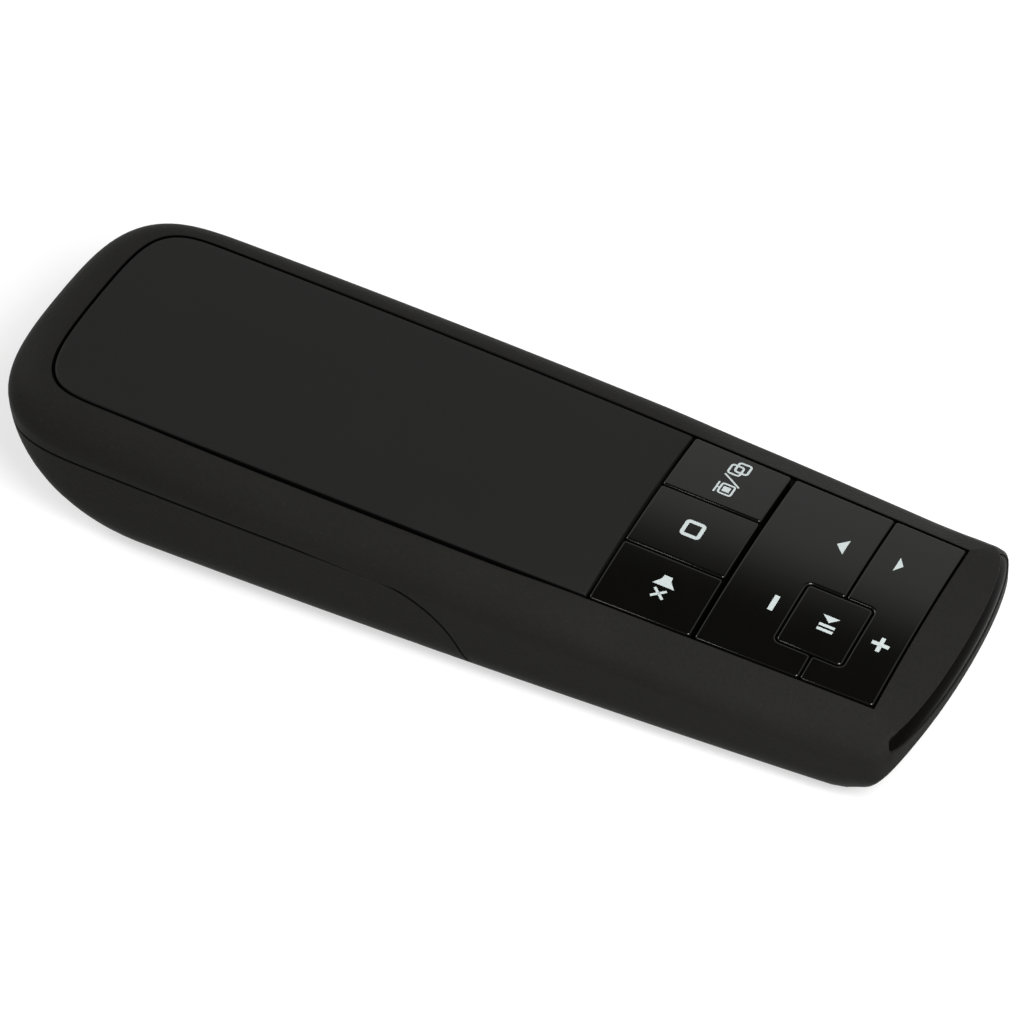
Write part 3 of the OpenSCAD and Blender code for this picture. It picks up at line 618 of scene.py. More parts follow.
class Surface:
    """Points and faces of one closed half, mirrored to the whole."""

    def __init__(self):
        self.points = []
        self.painted_shades = []
        self.faces = []

    def ring(self, points, groove=0.0):
        """A row of points, with the share of painted shade on them, 0 to 1: full in a gap, fading over a
        rounded rim.
        """
        start = len(self.points)
        self.points.extend(map(tuple, points))
        self.painted_shades.extend([groove] * (len(self.points) - start))
        return np.arange(start, len(self.points))

    def strip(self, one, two, columns=None):
        """Faces between two rows, in all columns or in some."""
        for i in range(len(one) - 1) if columns is None else columns:
            self.faces.append((one[i], one[i + 1], two[i + 1], two[i]))

    def strips(self, rings, columns=None):
        for one, two in zip(rings, rings[1:]):
            self.strip(one, two, columns)

    def side_wall(self, one, two, column):
        """Faces between two stacks of rows, down one column."""
        for k in range(len(one) - 1):
            self.faces.append((one[k][column], one[k + 1][column], two[k + 1][column], two[k][column]))

    def end(self, rings, column=-1):
        """One face over a loop of rows, in their last column or in another."""
        self.faces.append(tuple(ring[column] for ring in rings))

    def mesh(self, name):
        bm = bmesh.new()
        # each point's share of painted shade goes into a float attribute that the material reads
        groove = bm.verts.layers.float.new("groove")
        verts = [bm.verts.new(p) for p in self.points]
        for vert, depth in zip(verts, self.painted_shades):
            vert[groove] = depth
            if abs(vert.co.y) < 1e-9:
                vert.co.y = 0
        for corners in self.faces:
            if len(set(corners)) > 2:
                bm.faces.new([verts[i] for i in corners])
        copy = bmesh.ops.duplicate(bm, geom=bm.verts[:] + bm.edges[:] + bm.faces[:])["geom"]
        for item in copy:
            if isinstance(item, bmesh.types.BMVert):
                item.co.y = -item.co.y
        merged(bm)
        bmesh.ops.dissolve_degenerate(bm, dist=1e-7, edges=bm.edges[:])
        bmesh.ops.delete(bm, geom=[v for v in bm.verts if not v.link_faces], context="VERTS")
        return finished(bm, name)


def node_object(name):
    thing = bpy.data.objects.get(name)
    if thing is None:
        raise RuntimeError(f"the frame has no {name}")
    return thing


def merged_copy(node, name):
    """The CAD node as one connected mesh, shaded smooth by angle."""
    bm = bmesh.new()
    bm.from_mesh(node_object(node).data)
    merged(bm, 1e-6)
    bmesh.ops.dissolve_limit(bm, verts=bm.verts[:], edges=bm.edges[:], angle_limit=radians(0.05))
    return finished(bm, name, 28)


def dress(thing, material, body, replaces=()):
    """Gives a piece its finish, the body it moves with and the CAD pieces it stands for."""
    thing.data.materials.clear()
    thing.data.materials.append(material)
    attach(thing, body)
    if replaces:
        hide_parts(*replaces)


# ---- nodes and materials

# sockets of a Mix node that mixes colours
COLOUR_A, COLOUR_B, COLOUR_OUT = 6, 7, 2


def new_node(tree, kind, inputs=None, **attributes):
    """Adds a node: its settings first, then the values or links of its sockets."""
    node = tree.nodes.new(kind)
    for key, value in attributes.items():
        setattr(node, key, value)
    for key, value in (inputs or {}).items():
        for one in value if isinstance(value, list) else [value]:
            if isinstance(one, Value):
                one = one.socket
            if isinstance(one, bpy.types.NodeSocket):
                tree.links.new(one, node.inputs[key])
            else:
                node.inputs[key].default_value = one
    return node


class Value:
    """A value in a node tree. Operators on it make Math nodes."""

    def __init__(self, tree, socket):
        self.tree = tree
        self.socket = socket

    def math(self, operation, *values, clamp=False):
        ports = dict(enumerate(values))
        node = new_node(self.tree, "ShaderNodeMath", ports, operation=operation, use_clamp=clamp)
        return Value(self.tree, node.outputs[0])

    def __add__(self, other):
        return self.math("ADD", self, other)

    def __sub__(self, other):
        return self.math("SUBTRACT", self, other)

    def __rsub__(self, other):
        return self.math("SUBTRACT", other, self)

    def __mul__(self, other):
        return self.math("MULTIPLY", self, other)

    def __truediv__(self, other):
        return self.math("DIVIDE", self, other)

    def __rtruediv__(self, other):
        return self.math("DIVIDE", other, self)

    __radd__ = __add__
    __rmul__ = __mul__

    def clamped(self):
        return self.math("ADD", self, 0.0, clamp=True)

    def at_least(self, floor):
        return self.math("MAXIMUM", self, floor)

    def ramp(self, low, high):
        """0 at low, 1 at high, smooth between."""
        share = ((self - low) / (high - low)).clamped()
        return share * share * (3.0 - share * 2.0)


class Finish:
    """A procedural material in the object's own coordinates."""

    def __init__(self, name, base, roughness, **constants):
        """Makes the material, or makes it anew where an earlier operator did."""
        self.material = bpy.data.materials.get(name) or bpy.data.materials.new(name)
        self.material.use_nodes = True
        self.tree = self.material.node_tree
        self.tree.nodes.clear()
        self.shader = self.node("ShaderNodeBsdfPrincipled")
        self.node("ShaderNodeOutputMaterial", {"Surface": self.shader.outputs[0]})
        self.base = tuple(base)
        self.material.diffuse_color = self.tone(1)
        self.shader.inputs["Base Color"].default_value = self.tone(1)
        self.shader.inputs["Roughness"].default_value = roughness
        for socket, value in constants.items():
            self.shader.inputs[socket.replace("_", " ")].default_value = value
        self.own_place = self.node("ShaderNodeTexCoord").outputs["Object"]

    def node(self, kind, inputs=None, **attributes):
        return new_node(self.tree, kind, inputs, **attributes)

    def feed(self, port, socket):
        self.tree.links.new(socket, self.shader.inputs[port])
        return self

    def spot(self, scale):
        return self.node("ShaderNodeMapping", {"Vector": self.own_place, "Scale": scale}).outputs[0]

    def noise(self, blotch, detail=2.0, roughness=0.5, stretch=(1, 1, 1)):
        """Noise whose blotches are about blotch metres across."""
        ports = {
            "Vector": self.spot(tuple(share / blotch for share in stretch)),
            "Scale": 1.0, "Detail": detail, "Roughness": roughness,
        }
        return Value(self.tree, self.node("ShaderNodeTexNoise", ports).outputs["Fac"])

    def cells(self, cell):
        """Distance from the middle of cells that are about cell metres across."""
        ports = {"Vector": self.spot((1 / cell,) * 3), "Scale": 1.0}
        return Value(self.tree, self.node("ShaderNodeTexVoronoi", ports).outputs["Distance"])

    def tone(self, level):
        """The base colour, darker or lighter."""
        return (*(part * level for part in self.base), 1)

    def mixed(self, share, one, two):
        """Base colour between one and two, each a colour or a socket."""
        ports = {"Factor": share, COLOUR_A: one, COLOUR_B: two}
        node = self.node("ShaderNodeMix", ports, data_type="RGBA")
        return self.feed("Base Color", node.outputs[COLOUR_OUT])

    def shades(self, share, spread):
        """Varies the base colour by a share of itself either way."""
        return self.mixed(share, self.tone(1 - spread), self.tone(1 + spread))

    def paint_shade_in_gaps(self, level=0.06):
        """Painted shade: darkens the base colour towards level along the piece's painted shade attribute,
        full in gaps and on walls under a rim, where little light reaches.
        """
        groove = self.node("ShaderNodeAttribute", attribute_name="groove").outputs["Fac"]
        unshaded = self.shader.inputs["Base Color"].links[0].from_socket
        return self.mixed(groove, unshaded, self.tone(level))

    def roughness(self, value):
        return self.feed("Roughness", value.socket)

    def bump(self, height, depth):
        """Relief of depth metres."""
        node = self.node("ShaderNodeBump", {"Height": height, "Distance": depth, "Strength": 1.0})
        return self.feed("Normal", node.outputs[0])

    def glow_to_the_eye(self, level):
        """A paler tone for what is seen, directly, in gloss or through glass, and lights nothing."""
        rays = self.node("ShaderNodeLightPath").outputs
        camera, glossy, through = (
            Value(self.tree, rays[f"Is {kind} Ray"]) for kind in ("Camera", "Glossy", "Transmission")
        )
        share = (camera + glossy + through).clamped() * level
        return self.feed("Emission Color", grey(self.tree, share))


def grey(tree, value):
    """The value as a colour's socket."""
    parts = {part: value for part in ("Red", "Green", "Blue")}
    return new_node(tree, "ShaderNodeCombineColor", parts).outputs[0]


def moulded(name, base):
    """Soft black moulding with a fine spark-eroded grain."""
    made = Finish(name, base, 0.55, Specular_IOR_Level=0.03, IOR=1.47)
    grain = made.noise(0.00042, 3.0, 0.6)
    pits = made.cells(0.00065)
    worn = made.noise(0.014, 3.0)
    specks = 1 - made.cells(0.0011).ramp(0.05, 0.16)
    made.shades(grain * 0.55 + worn * 0.35 + specks * 0.45, 0.34)
    made.roughness(0.44 + grain * 0.12 + worn * 0.05)
    return made.bump(grain + pits * 0.7, 0.000035)


def housing_black(base):
    """The moulding of the upper housing and the door, with shade painted into their gaps, along the seam and
    over the rim round the panel.
    """
    return moulded("housing_black", base).paint_shade_in_gaps().material


def underside_black(base):
    """The moulding of the underside, with no painted shade."""
    return moulded("underside_black", base).material


def panel_satin(base):
    """Rubbery paint on the palm panel."""
    made = Finish("panel_satin", base, 0.55, Specular_IOR_Level=0.15, IOR=1.47)
    grain = made.noise(0.00016)
    worn = made.noise(0.018, 3.0)
    made.shades(grain * 0.5 + worn * 0.5, 0.12)
    # painted shade on the panel's rounded edge and on its side down in the gap
    made.paint_shade_in_gaps()
    made.roughness(0.5 + grain * 0.06 + worn * 0.08)
    made.bump(grain, 0.000006)
    return made.material


def key_gloss(base):
    """Polished black keys, with faint wipe marks."""
    made = Finish("key_gloss", base, 0.13, Specular_IOR_Level=0.42, IOR=1.49)
    wipes = made.noise(0.006, 3.0, 0.6, stretch=(1, 0.25, 1))
    made.shades(wipes, 0.15)
    made.roughness(0.09 + wipes * 0.08)
    made.bump(made.noise(0.009, 1.0), 0.000004)
    return made.material


def icon_print(base):
    """Pale ink, a little uneven."""
    made = Finish("icon_print", base, 0.45, Specular_IOR_Level=0.3)
    ink = made.noise(0.0003)
    made.shades(ink, 0.06)
    made.roughness(0.4 + ink * 0.1)
    return made.material


def window_smoked(base):
    """Smoked plastic with a faint haze."""
    made = Finish("window_smoked", base, 0.16, Specular_IOR_Level=0.01, IOR=1.49)
    haze = made.noise(0.005)
    made.shades(haze, 0.1)
    made.roughness(0.12 + haze * 0.08)
    return made.material


def guide_plastic(base):
    """Fine black plastic of the guide plate and the receiver."""
    made = Finish("guide_plastic", base, 0.5, Specular_IOR_Level=0.3)
    made.roughness(0.42 + made.noise(0.001) * 0.15)
    return made.material


def mat_silicone(base):
    """Soft silicone with a dusty grain."""
    made = Finish("mat_silicone", base, 0.6, Specular_IOR_Level=0.3)
    made.shades(made.noise(0.002), 0.08)
    made.bump(made.noise(0.0003), 0.00001)
    return made.material


def board_mask(base):
    """Solder mask over copper, which shows as lighter patches."""
    made = Finish("board_mask", base, 0.35)
    made.shades(made.cells(0.0025).ramp(0.2, 0.5), 0.25)
    made.bump(made.noise(0.0004), 0.00001)
    return made.material


def brushed_steel(base):
    """Steel of the pins, screws and cans, drawn along its length."""
    made = Finish("brushed_steel", base, 0.3, Metallic=1.0)
    made.roughness(0.22 + made.noise(0.0008, stretch=(0.2, 1, 1)) * 0.2)
    return made.material


def nickel_plate(base):
    """Nickel on the contacts, uneven in its gloss."""
    made = Finish("nickel_plate", base, 0.28, Metallic=1.0)
    made.roughness(0.2 + made.noise(0.0015) * 0.2)
    return made.material


def sleeve_print(base):
    """Shrunk sleeve of the cells, clear coated."""
    made = Finish("sleeve_print", base, 0.3, Coat_Weight=0.4)
    made.shades(made.noise(0.003), 0.1)
    return made.material


def chip_package(base):
    """Moulded resin of the chips."""
    made = Finish("chip_package", base, 0.45)
    made.bump(made.noise(0.0003), 0.00001)
    return made.material


def status_lens(base):
    """Clear lens of the status light."""
    made = Finish("status_lens", base, 0.15)
    made.shades(made.noise(0.001), 0.05)
    return made.material


def finish(make, colour_name):
    """The material that a finish's function makes of one of the colours."""
    return make(getattr(settings("finish"), colour_name))


# ---- housing, door, panel and window


def housing_outline(form):
    """Columns of the upper housing, with those at the key well's edge and at the window's end."""
    body = form.body
    window_end = [round(angle, 6) for angle in form.window_turns(body.window_gap)]
    tail = form.tail_points()
    shares = form.side_shares() | set(np.round(form.curve_shares(body.seam_gap / 2)[:-1], 6))
    facet_growth = np.arange(body.facet_start - FACET_BEHIND, body.facet_full + FACET_AHEAD, FACET_PITCH)
    shares |= {round(form.side_share(x), 6) for x in facet_growth}
    well = round(form.opening_share(body.deck_x), 6)
    shares = {share for share in shares if abs(share - well) > WELL_ROOM} | {well}
    side = [form.side_point(share) for share in sorted(shares)]
    turns = np.round(eased(30) * pi / 2, 6)
    turns = {angle for angle in turns if not window_end[0] <= angle <= window_end[-1]}
    turns = sorted({*turns, *window_end}, reverse=True)
    tip = [form.tip_point(angle) for angle in turns]
    well_column = len(tail) + sorted(shares).index(well)
    window_column = len(tail) + len(side) + turns.index(window_end[-1])
    return Outline(tail + side + tip), well_column, window_column


def across_top(form, outline, skin, depth, spread):
    """Rows at a depth under the top's edge, from the middle to the opening's outline."""
    z = form.top(outline.in_x, outline.in_y) - depth
    return [skin.ring(row_of(outline.in_x, outline.in_y * share, z)) for share in spread]


def housing_top(form, outline, skin):
    """Rows from the recess over the rounded rim to the widest line, and where the window's are."""
    body = form.body
    swell = smooth((outline.in_x - body.swell_rear) / body.swell_rise)
    swell *= smooth((body.swell_front - outline.in_x) / body.swell_fall)
    radius = body.rim + body.swell * swell
    foot = form.top(outline.in_x, outline.in_y) - radius - body.rim_foot
    # painted shade: full on the wall down in the gap and over the rim's lower turn, gone about 57 degrees
    # round
    rows = [skin.ring(row_of(outline.in_x, outline.in_y, foot), 1)]
    for angle in angles(0, 90, 7):
        q = form.q_at(outline, radius * (1 - cos(angle)))
        points = form.upper(outline, q, sink=radius * (1 - sin(angle)))
        rows.append(skin.ring(points, float(unit(3 - angle * 3))))
    rim_end = form.q_at(outline, radius)
    upper, lower = form.window_band(outline, body.window_gap)
    stations = [lerp(rim_end, 0.5, share) for share in (0.1, 0.25, 0.42, 0.58, 0.72, 0.84, 0.93)]
    stations += [0.5, 0.507]
    lip_row = len(rows) + len(stations)
    stations += [lerp(upper, lower, share) for share in np.linspace(0, 1, 13)]
    sill_row = len(rows) + len(stations) - 1
    stations += [lerp(lower, 1, share) for share in (0.3, 0.6, 0.8, 1)]
    rows += [skin.ring(form.upper(outline, q)) for q in stations]
    return rows, lip_row, sill_row


def housing_side(form, outline, skin):
    """Rows from the widest line down to the seam, and up again inside to the roof's edge."""
    body = form.body

    def edge(x):
        seam = form.door_edge(x, body.seam_gap / 2)
        ahead = x > body.door_end - body.base_overlap
        return np.where(ahead, np.maximum(seam, body.base_height), seam)

    ease_start = form.bend_at(outline, lambda x: edge(x) + body.seam_edge)
    shares = np.linspace(0, 1, 21)[1:]
    rows = [skin.ring(form.lower(outline, lerp(-1.0, ease_start, share))) for share in shares]
    seam = form.lower(outline, form.bend_at(outline, edge), inset=body.seam_ease)
    # painted shade: full at the seam's edge and all down the inner wall
    rows.append(skin.ring(seam, 1))
    widest = form.inner_top(outline, 1, body.inner_drop)[:, 2]
    inside = dict(inset=body.wall, floor=body.thin_wall, widest=widest)
    start = form.bend_at(outline, edge, **inside)
    for share in np.linspace(0, 1, 13):
        rows.append(skin.ring(form.lower(outline, lerp(start, -1.0, share), **inside), 1))
    rows.append(skin.ring(form.inner_top(outline, 1, body.inner_drop)))
    for share, sag in ((0.85, 0.0010), (0.6, 0.0004), (0.3, 0.0001)):
        rows.append(skin.ring(form.inner_top(outline, share, body.roof + sag)))
    return rows


def upper_housing(form):
    """Upper housing: recessed top, rounded shoulders, facets, lip, seam edge and inner wall."""
    body = form.body
    outline, well, window = housing_outline(form)
    skin = Surface()
    spread = (0, 0.4, 0.75, 1)
    recess = across_top(form, outline, skin, body.recess, spread)
    top, lip_row, sill_row = housing_top(form, outline, skin)
    side = housing_side(form, outline, skin)
    roof = across_top(form, outline, skin, body.roof, spread[::-1])

    under_panel, beside_keys = range(well), range(well, len(outline) - 1)
    skin.strips(recess, under_panel)
    skin.strips(roof, under_panel)
    skin.side_wall(recess, roof[::-1], well)
    skin.strip(recess[-1], top[0])
    skin.strip(roof[0], recess[-1], beside_keys)

    rows = top + side + roof[:1]
    beside_window, behind_window = range(window), range(window, len(outline) - 1)
    skin.strips(rows[: lip_row + 1])
    skin.strips(rows[lip_row : sill_row + 1], beside_window)
    skin.strips(rows[sill_row:])
    back = [body.window_depth + body.window_room, 0, 0]
    front = rows[lip_row : sill_row + 1]
    pocket = [skin.ring(np.array([skin.points[i] for i in row]) - back) for row in front]
    skin.strips(pocket, behind_window)
    skin.strip(front[0], pocket[0], behind_window)
    skin.strip(pocket[-1], front[-1], behind_window)
    skin.side_wall(front, pocket, window)
    return skin.mesh("upper_housing")


def palm_panel(form):
    """Crowned panel with a rounded rear end, straight in front of the keys."""
    body = form.body
    radius = body.panel_edge
    front = body.deck_x - body.panel_gap
    turns = angles(0, 90, 5)[1:]
    tail = form.tail_points(44)
    along = [*np.linspace(form.opening_start, front - radius, 34)[1:]]
    along += [front - radius + radius * sin(angle) for angle in turns]
    outline = Outline(tail + [form.side_point(form.opening_share(x)) for x in along])
    front_drop = np.zeros(len(outline))
    front_drop[-len(turns):] = [radius * (1 - cos(angle)) for angle in turns]

    def level(inset, share=1.0, drop=0.0):
        x, y = outline.opening(body.panel_gap + inset)
        return row_of(x, y * share, form.top(x, y * share) - drop - front_drop)

    skin = Surface()
    rows = [skin.ring(level(radius, share)) for share in np.linspace(0, 1, 15)]
    # painted shade grows over the edge's rounding and is full on the panel's side in the gap
    for angle in turns:
        points = level(radius * (1 - sin(angle)), drop=radius * (1 - cos(angle)))
        rows.append(skin.ring(points, sin(angle) ** 3))
    x, y = outline.opening(body.panel_gap)
    foot = form.top(x, y) - body.recess + body.panel_lift
    rows += [skin.ring(row_of(x, y * share, foot), 1) for share in (1, 0.5, 0)]
    skin.strips(rows)
    skin.end(rows)
    return skin.mesh("palm_panel_skin")


def battery_door(form):
    """Battery door: the rear underside up to the seam, with its curved front edge."""
    body = form.body
    gap = -body.seam_gap / 2
    tail = form.tail_points()
    curve_start = form.side_share(body.door_curve_x)
    columns = {share for share in form.side_shares() if share < curve_start}
    columns |= set(np.round(form.curve_shares(gap, 22), 6))
    outline = Outline(tail + [form.side_point(share) for share in sorted(columns)])
    quarter = np.full(len(outline), pi / 2)
    skin = Surface()

    def edge(x):
        return form.door_edge(x, gap)

    def wall(start, **where):
        """Rows from the seam round the corner and across the bottom to the middle."""
        bends = [lerp(start, pi / 2, share) for share in np.linspace(0, 1, 13)]
        rows = [skin.ring(form.lower(outline, bend, **where)) for bend in bends]
        foot = form.lower(outline, quarter, **where)
        return rows + [skin.ring(foot * [1, share, 1]) for share in (0.75, 0.5, 0.25, 0)]

    seam = form.lower(outline, form.bend_at(outline, edge), inset=body.seam_ease)
    # painted shade along the door's seam edge
    outer = [skin.ring(seam, 1)]
    outer += wall(form.bend_at(outline, lambda x: edge(x) - body.seam_edge))
    widest = form.inner_top(outline, 1, body.inner_drop)[:, 2]
    inside = dict(inset=body.thin_wall, floor=body.thin_wall, widest=widest)
    inner_start = form.bend_at(outline, edge, **inside)
    inner = [skin.ring(form.lower(outline, inner_start, **inside))]
    inner += wall(inner_start, **inside)
    skin.strips(outer)
    skin.strips(inner)
    skin.strip(outer[0], inner[0])
    skin.side_wall(outer, inner, -1)
    return skin.mesh("battery_door_skin")


def front_window(form):
    """Smoked window that follows the tip, its edges rounded."""
    body = form.body
    ends = form.window_turns(0)
    turns = [*reversed(ends), *np.linspace(ends[0], 0, 50)[1:]]
    outline = Outline([form.tip_point(angle) for angle in turns])
    upper, lower = form.window_band(outline, 0)
    rim = np.minimum(body.window_edge / (2 * body.shoulder_drop), (lower - upper) / 2)
    skin = Surface()

    def row(q, inset):
        return skin.ring(form.upper(outline, q, inset=body.window_set + inset))

    edge = [(1 - sin(angle), body.window_edge * (1 - cos(angle))) for angle in angles(0, 90, 4)]
    thickness = body.window_depth - body.window_set
    rows = [row(upper + rim * down, back) for down, back in reversed(edge)]
    rows += [row(lerp(upper + rim, lower - rim, share), 0) for share in np.linspace(0, 1, 14)[1:-1]]
    rows += [row(lower - rim * up, back) for up, back in edge]
    rows += [row(lerp(lower, upper, share), thickness) for share in np.linspace(0, 1, 12)]
    skin.strips([*rows, rows[0]])
    skin.end(rows, 0)
    return skin.mesh("front_window_skin")


# ---- keys


def deck():
    """From the plane of the keys to the object: x ahead from their rear edge, z out of the deck."""
    body = settings("body")
    return Matrix.Translation((body.deck_x, 0, body.deck_height)) @ Matrix.Rotation(body.deck_tilt, 4, "Y")


def crown(y):
    return -y * y / (2 * settings("body").crown_radius)


def rounded_plan(corners, radii, inset, steps=5):
    """Outline with rounded corners, moved inwards by inset; corners run anticlockwise."""
    points = []
    count = len(corners)
    for k, radius in enumerate(radii):
        here, before, after = (Vector(corners[i % count]) for i in (k, k - 1, k + 1))
        one, two = (here - before).normalized(), (after - here).normalized()
        angle = -one.angle_signed(two)
        side = 1 if angle > 0 else -1
        normal = Vector((-one.y, one.x))
        centre = here - one * radius * tan(abs(angle) / 2) + normal * radius * side
        for share in np.linspace(0, 1, steps + 1):
            out = Matrix.Rotation(angle * share, 2) @ normal
            points.append(centre - out * (radius * side - inset))
    return points


def slab(bm, rows):
    """Closed solid through outlines (points, height), from the lowest to the highest."""
    loops = [[bm.verts.new((*point, z)) for point in points] for points, z in rows]
    bm.faces.new(loops[0])
    bm.faces.new(loops[-1])
    for one, two in zip(loops, loops[1:]):
        quads(bm, one, two)


def hoop(bm, outer, inner, low, high):
    """Closed solid between two outlines of as many points."""
    walls = ((outer, low), (outer, high), (inner, high), (inner, low))
    loops = [[bm.verts.new((*point, z)) for point in points] for points, z in walls]
    for one, two in zip(loops, loops[1:] + loops[:1]):
        quads(bm, one, two)


def onto_deck(bm, pitch, flat_below=-1.0):
    """Cuts a flat solid across, bends it over the crown and lays it on the deck."""
    low = min(vert.co.y for vert in bm.verts)
    high = max(vert.co.y for vert in bm.verts)
    for y in np.arange(np.ceil(low / pitch) * pitch, high, pitch):
        whole = bm.verts[:] + bm.edges[:] + bm.faces[:]
        bmesh.ops.bisect_plane(bm, geom=whole, plane_co=(0, y, 0), plane_no=(0, 1, 0), dist=1e-7)
    merged(bm)
    for vert in bm.verts:
        if vert.co.z > flat_below:
            vert.co.z += crown(vert.co.y)
    bmesh.ops.transform(bm, matrix=deck(), verts=bm.verts[:])


def key_cap(name, corners, radii):
    """Cap with a rounded top edge and straight sides, hollow underneath."""
    keys = settings("keys")
    wider = [radius + keys.wall for radius in radii]
    rows = [(rounded_plan(corners, wider, keys.wall), -depth) for depth in (keys.face, keys.skirt)]
    rows.append((rounded_plan(corners, radii, 0), -keys.skirt))
    for angle in angles(0, 90, 5):
        plan = rounded_plan(corners, radii, keys.edge * (1 - cos(angle)))
        rows.append((plan, -keys.edge * (1 - sin(angle))))
    rows.append((rounded_plan(corners, radii, keys.edge + keys.gap * 0.4), 0))
    bm = bmesh.new()
    slab(bm, rows)
    onto_deck(bm, CAP_PITCH, flat_below=-keys.face / 2)
    return finished(bm, name, 50)


def cap_plans(form):
    """Corners and corner radii of each key cap, anticlockwise, by CAD node."""
    keys = form.keys
    small, gap, split = keys.corner, keys.gap, keys.row_split - keys.gap / 2

    def block(low, high, near, far):
        """Corners between two places along the deck and, at each of them, two across it."""
        return [(low, near[0]), (high, near[1]), (high, far[1]), (low, far[0])]

    def edges(*places):
        return [float(form.opening_width(form.body.deck_x + x)) - keys.side_gap for x in places]

    low, high = keys.row_start, keys.row_end
    far = edges(low, high)
    near = [-y for y in far]
    row = {
        "screen_switch_key": block(low, high, [split + gap] * 2, far),
        "blank_screen_key": block(low, high, [-split] * 2, [split] * 2),
        "mute_key": block(low, high, near, [-split - gap] * 2),
    }
    plans = {node: (corners, [small] * 4) for node, corners in row.items()}

    x0, x1 = keys.play_x - keys.play_length / 2, keys.play_x + keys.play_length / 2
    y0, y1 = keys.play_y - keys.play_width / 2, keys.play_y + keys.play_width / 2
    plans["play_key"] = block(x0, x1, [y0] * 2, [y1] * 2), [keys.play_corner] * 4
    x0, x1, y0, y1 = x0 - gap, x1 + gap, y0 - gap, y1 + gap
    notch = keys.play_corner + gap

    # the two rocking keys meet round the play key, each with a notch for it
    low, high = keys.rock_start, keys.rock_split - gap / 2
    rear, front = edges(low, high)
    cut = [(high, y0), (x0, y0), (x0, y1), (high, y1)]
    corners = [(low, -rear), (high, -front), *cut, (high, front), (low, rear)]
    plans["back_rocker"] = corners, [small] * 3 + [notch] * 2 + [small] * 3

    low, high = keys.rock_split + gap / 2, keys.rock_end
    rear, front = edges(low, high)
    cut = [(low, y1), (x1, y1), (x1, y0), (low, y0)]
    corners = [(low, -rear), (high, -front), (high, front), (low, rear), *cut]
    plans["forward_rocker"] = corners, [small] * 5 + [notch] * 2 + [small]
    return plans


# ---- icons, on the deck and in millimetres


def bar(x, y, length, width, lean=0):
    """Bar round a middle, leaning by an angle in degrees."""
    along, across = cos(radians(lean)), sin(radians(lean))
    corners = [(u * length / 2, v * width / 2) for u, v in ((-1, -1), (1, -1), (1, 1), (-1, 1))]
    return [(x + along * u - across * v, y + across * u + along * v) for u, v in corners]


def frame_ring(x, y, length, width, line, radius):
    """Rounded frame round a middle: its outer and its inner outline."""
    corners = bar(x, y, length, width)
    return [rounded_plan(corners, [radius] * 4, inset, 4) for inset in (0, line)]


def icon_mesh(name, solids, rings):
    """Printed icon a hair above the key, from filled outlines and frames."""
    keys = settings("keys")
    low, high = -keys.icon_root, keys.icon_raise
    whole, part = bmesh.new(), bpy.data.meshes.new(name)
    for outlines in [[shape] for shape in solids] + rings:
        scaled = [[Vector(point) / 1000 for point in outline] for outline in outlines]
        bm = bmesh.new()
        if len(scaled) == 1:
            slab(bm, [(scaled[0], low), (scaled[0], high)])
        else:
            hoop(bm, *scaled, low, high)
        onto_deck(bm, ICON_PITCH)
        bm.to_mesh(part)
        bm.free()
        whole.from_mesh(part)
    bpy.data.meshes.remove(part)
    return finished(whole, name, 30)


def icons():
    """Name, CAD node, filled outlines and frames of each icon."""
    slash = bar(7.36, 9.88, 3.0, 0.24, -31)
    screen = [bar(7.42, 8.12, 0.95, 0.9), bar(6.12, 8.07, 0.24, 1.95), bar(6.35, 8.05, 0.45, 0.22)]
    screen_frame = frame_ring(7.44, 8.12, 1.95, 2.0, 0.26, 0.38)
    windows = [frame_ring(6.98, 11.85, 1.85, 1.95, 0.28, 0.45), frame_ring(7.68, 12.5, 1.95, 2.05, 0.3, 0.5)]
    blank = frame_ring(6.81, 0.08, 2.7, 2.7, 0.5, 0.55)
    speaker = [(6.04, -9.43), (8.92, -9.43), (8.07, -8.44), (8.0, -7.82), (6.9, -7.82), (6.83, -8.44)]
    cross = [bar(7.44, -10.62, 2.05, 0.34, lean) for lean in (39, -39)]
    back = [(22.93, 6.56), (24.18, 5.27), (24.18, 7.87)]
    minus = bar(20.22, -5.6, 0.66, 2.4)
    forward = [(31.43, 7.12), (30.58, 8.36), (30.58, 5.88)]
    plus = [bar(34.06, -5.43, 0.52, 2.2), bar(34.06, -5.43, 2.2, 0.52)]
    play = [(26.17, -4.34), (27.3, -5.32), (28.35, -4.34)]
    pause = [bar(27.3, y, 2.05, 0.4) for y in (-5.85, -6.55)]
    return [
        ("screen_switch_icon", "screen_switch_key", [slash, *screen], [screen_frame, *windows]),
        ("blank_screen_icon", "blank_screen_key", [], [blank]),
        ("mute_icon", "mute_key", [speaker, *cross], []),
        ("back_icons", "back_rocker", [back, minus], []),
        ("forward_icons", "forward_rocker", [forward, *plus], []),
        ("play_icon", "play_key", [play, *pause], []),
    ]


# ---- what repeats or follows a path, grown by Geometry Nodes


